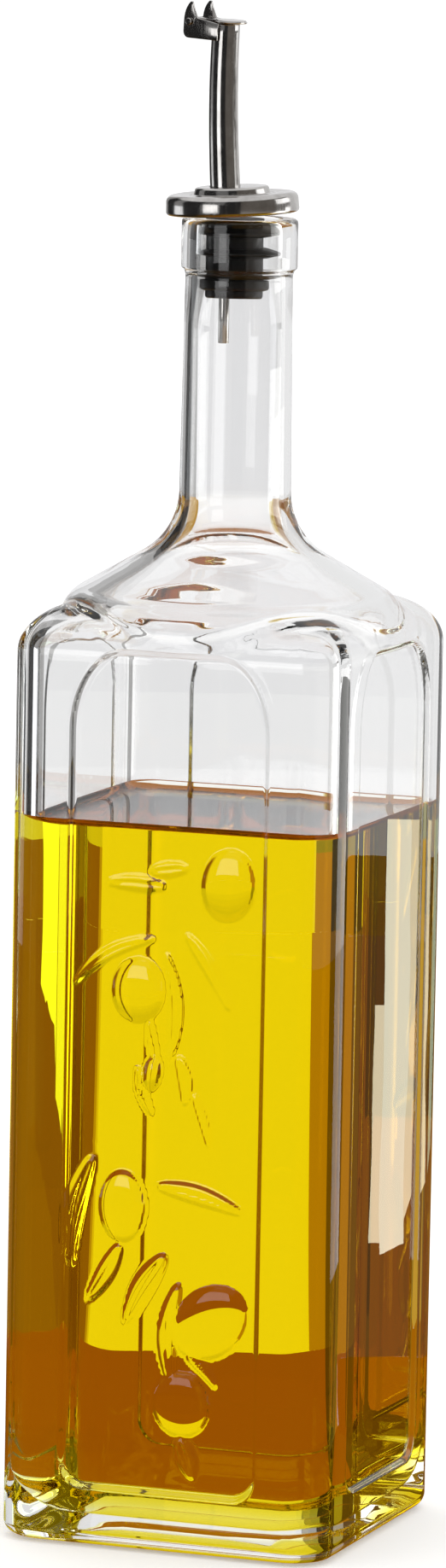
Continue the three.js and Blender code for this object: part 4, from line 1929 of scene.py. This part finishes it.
@dataclass
class Studio:
    """The pale floor, the white surroundings and the screens that glass and steel mirror."""

    camera: PhotoCamera = field(default_factory=PhotoCamera)
    floor_radius: float = 6.0
    floor_height: float = -0.4
    floor_colour: Colour = (0.92, 0.92, 0.92)
    floor_lift: float = 0.3
    daylight: Colour = WHITE
    brightness: float = 1.08
    bounces: int = 24
    glossy_bounces: int = 12
    screens: tuple[Screen, ...] = (
        wall("white under the backdrop", (1.06, 1.06, 1.06), -14, 12, TABLE_HEIGHT, 35),
        wall("white backdrop", (1.0, 1.0, 1.0), -14, 12, 35, 50),
        wall("near white backdrop", (0.95, 0.95, 0.95), -14, 12, 50, 75),
        wall("paler backdrop", (0.9, 0.9, 0.905), -14, 12, 75, 100),
        wall("pale backdrop", (0.86, 0.86, 0.87), -14, 12, 100),
        wall("brown under the left grey", (0.55, 0.32, 0.06), -30, -14, TABLE_HEIGHT, 26),
        wall("grey left of the backdrop", (0.36, 0.355, 0.35), -30, -14, 26),
        wall("dark left wall", (0.03, 0.03, 0.03), -60, -30),
        wall("left window", (1.3, 1.33, 1.36), -84, -60, TABLE_HEIGHT, 250),
        wall("over the left window", (0.3, 0.3, 0.3), -84, -60, 250),
        wall("dark side wall", (0.03, 0.03, 0.03), -128, -84),
        wall("under the front window", (0.02, 0.02, 0.02), -166, -128, TABLE_HEIGHT, 130),
        wall("front window", (2.0, 2.0, 2.0), -154, -128, 130, 400),
        wall("over the front window", (0.2, 0.2, 0.2), -166, -128, 400),
        wall("dark beside the front window", (0.02, 0.02, 0.02), -166, -154, 130, 400),
        wall("black front wall", (0.03, 0.03, 0.03), 166, 194),
        wall("olive front wall", (0.36, 0.335, 0.31), 98, 166, TABLE_HEIGHT, 176),
        wall("darker olive front wall", (0.16, 0.145, 0.13), 98, 166, 176),
        wall("right window", (3.6, 3.6, 3.5), 62, 98, TABLE_HEIGHT, 180),
        wall("upper right window", (2.2, 2.2, 2.2), 62, 76, 180, 260),
        wall("beside the upper right window", (0.17, 0.16, 0.15), 76, 98, 180, 260),
        wall("over the right window", (0.17, 0.16, 0.15), 62, 98, 260, 340),
        wall("high light on the right", (1.9, 1.9, 1.9), 62, 98, 340, 700),
        wall("over the high light", (0.3, 0.3, 0.3), 62, 98, 700),
        wall("brown under the right grey", (0.33, 0.16, 0.03), 14, 62, TABLE_HEIGHT, 26),
        wall("gold under the right grey", (0.6, 0.42, 0.1), 12, 14, TABLE_HEIGHT, 26),
        wall("pale right of the backdrop", (0.80, 0.80, 0.80), 12, 62, 26),
        strip("left strip of light", (1.3, 1.6, 1.2), 33.9, 36.0, 48, 22),
        strip("left strip's wide side", (1.2, 1.4, 1.0), 36.3, 43.5, 26, 14),
        strip("right strip of light", (3.5, 3.3, 2.5), 44.6, 45.7, 5, 3),
        strip("right strip's low side", (3.2, 2.8, 1.9), 45.7, 46.2, 8, high=70),
        strip("right strip's pale side", (3.1, 2.7, 1.8), 44.0, 44.6, 14, 10),
        table("brown table", (0.38, 0.13, 0.003), -30, 60, 0, TABLE_EDGE),
        table("dark table on the left", (0.10, 0.06, 0.005), -110, -30, 0, TABLE_EDGE),
        table("brown table in front", (0.45, 0.18, 0.005), 60, 250, 0, 140),
        table("white behind the table", (1.07, 1.07, 1.07), -12, 10.5, TABLE_EDGE),
        table("pale gold beside the white", (0.88, 0.78, 0.5), 10.5, 12, TABLE_EDGE),
        table("gold beside the white", (0.6, 0.42, 0.1), 12, 14, TABLE_EDGE),
        table("brown left of the white", (0.55, 0.32, 0.06), -30, -12, TABLE_EDGE),
        table("dark brown on the left", (0.16, 0.10, 0.05), -60, -30, TABLE_EDGE),
        table("black on the left", (0.03, 0.02, 0.01), -110, -60, TABLE_EDGE),
        table("brown before the front window", (0.22, 0.09, 0.01), -160, -110, 140, 480),
        table("black before the front window", (0.02, 0.018, 0.01), -160, -110, 480),
        table("brown in front", (0.25, 0.13, 0.01), 98, 200, 140),
        table("yellow before the right window", (0.9, 0.6, 0.05), 62, 98, 140, 350),
        table("right window's light", (2.3, 2.3, 2.2), 62, 98, 350),
        table("brown right of the white", (0.33, 0.16, 0.03), 14, 36, TABLE_EDGE),
        table("greyer brown on the right", (0.29, 0.13, 0.05), 36, 62, TABLE_EDGE),
        Screen("ceiling", (0.9, 0.9, 0.9), -180, 180, (SCREEN_RADIUS, SCREEN_TOP), (0, 1300)),
    )

    def build(self) -> None:
        """Sets up the studio and the camera."""
        self.camera.build()
        select_nothing()
        bpy.ops.mesh.primitive_circle_add(
            vertices=96,
            radius=self.floor_radius,
            fill_type="NGON",
            location=(0, 0, self.floor_height * MM),
        )
        floor = bpy.context.object
        floor.name = "pale floor"
        pale = Plain("pale floor", self.floor_colour, lift=self.floor_lift)
        floor.data.materials.append(pale.material())
        for screen in self.screens:
            screen.build(self.camera.azimuth)
        world = bpy.data.worlds.new("daylight")
        world.use_nodes = True
        background = world.node_tree.nodes["Background"]
        background.inputs["Color"].default_value = (*self.daylight, 1)
        background.inputs["Strength"].default_value = self.brightness
        scene = bpy.context.scene
        scene.world = world
        scene.view_settings.view_transform = "Standard"
        scene.view_settings.look = "None"
        scene.cycles.max_bounces = self.bounces
        scene.cycles.transmission_bounces = self.bounces
        scene.cycles.glossy_bounces = self.glossy_bounces


def main() -> None:
    """Builds the pieces in order, then the studio."""
    logging.basicConfig(level=logging.INFO, format="%(message)s")
    finishes = {
        Slot.GLASS: ClearGlass().material(),
        Slot.OIL: GoldenOil().material(),
        Slot.RUBBER: BlackRubber().material(),
        Slot.STEEL: PolishedSteel().material(),
    }
    steel_pieces = (CapDisc(), PourSpout(), AirTube(), HingeBracket(), HingePin(), FlapLid())
    for piece in (BottleGlass(), OilFill(), Stopper(), *steel_pieces):
        piece.build(finishes[piece.slot])
    Studio().build()


if __name__ == "__main__":
    main()
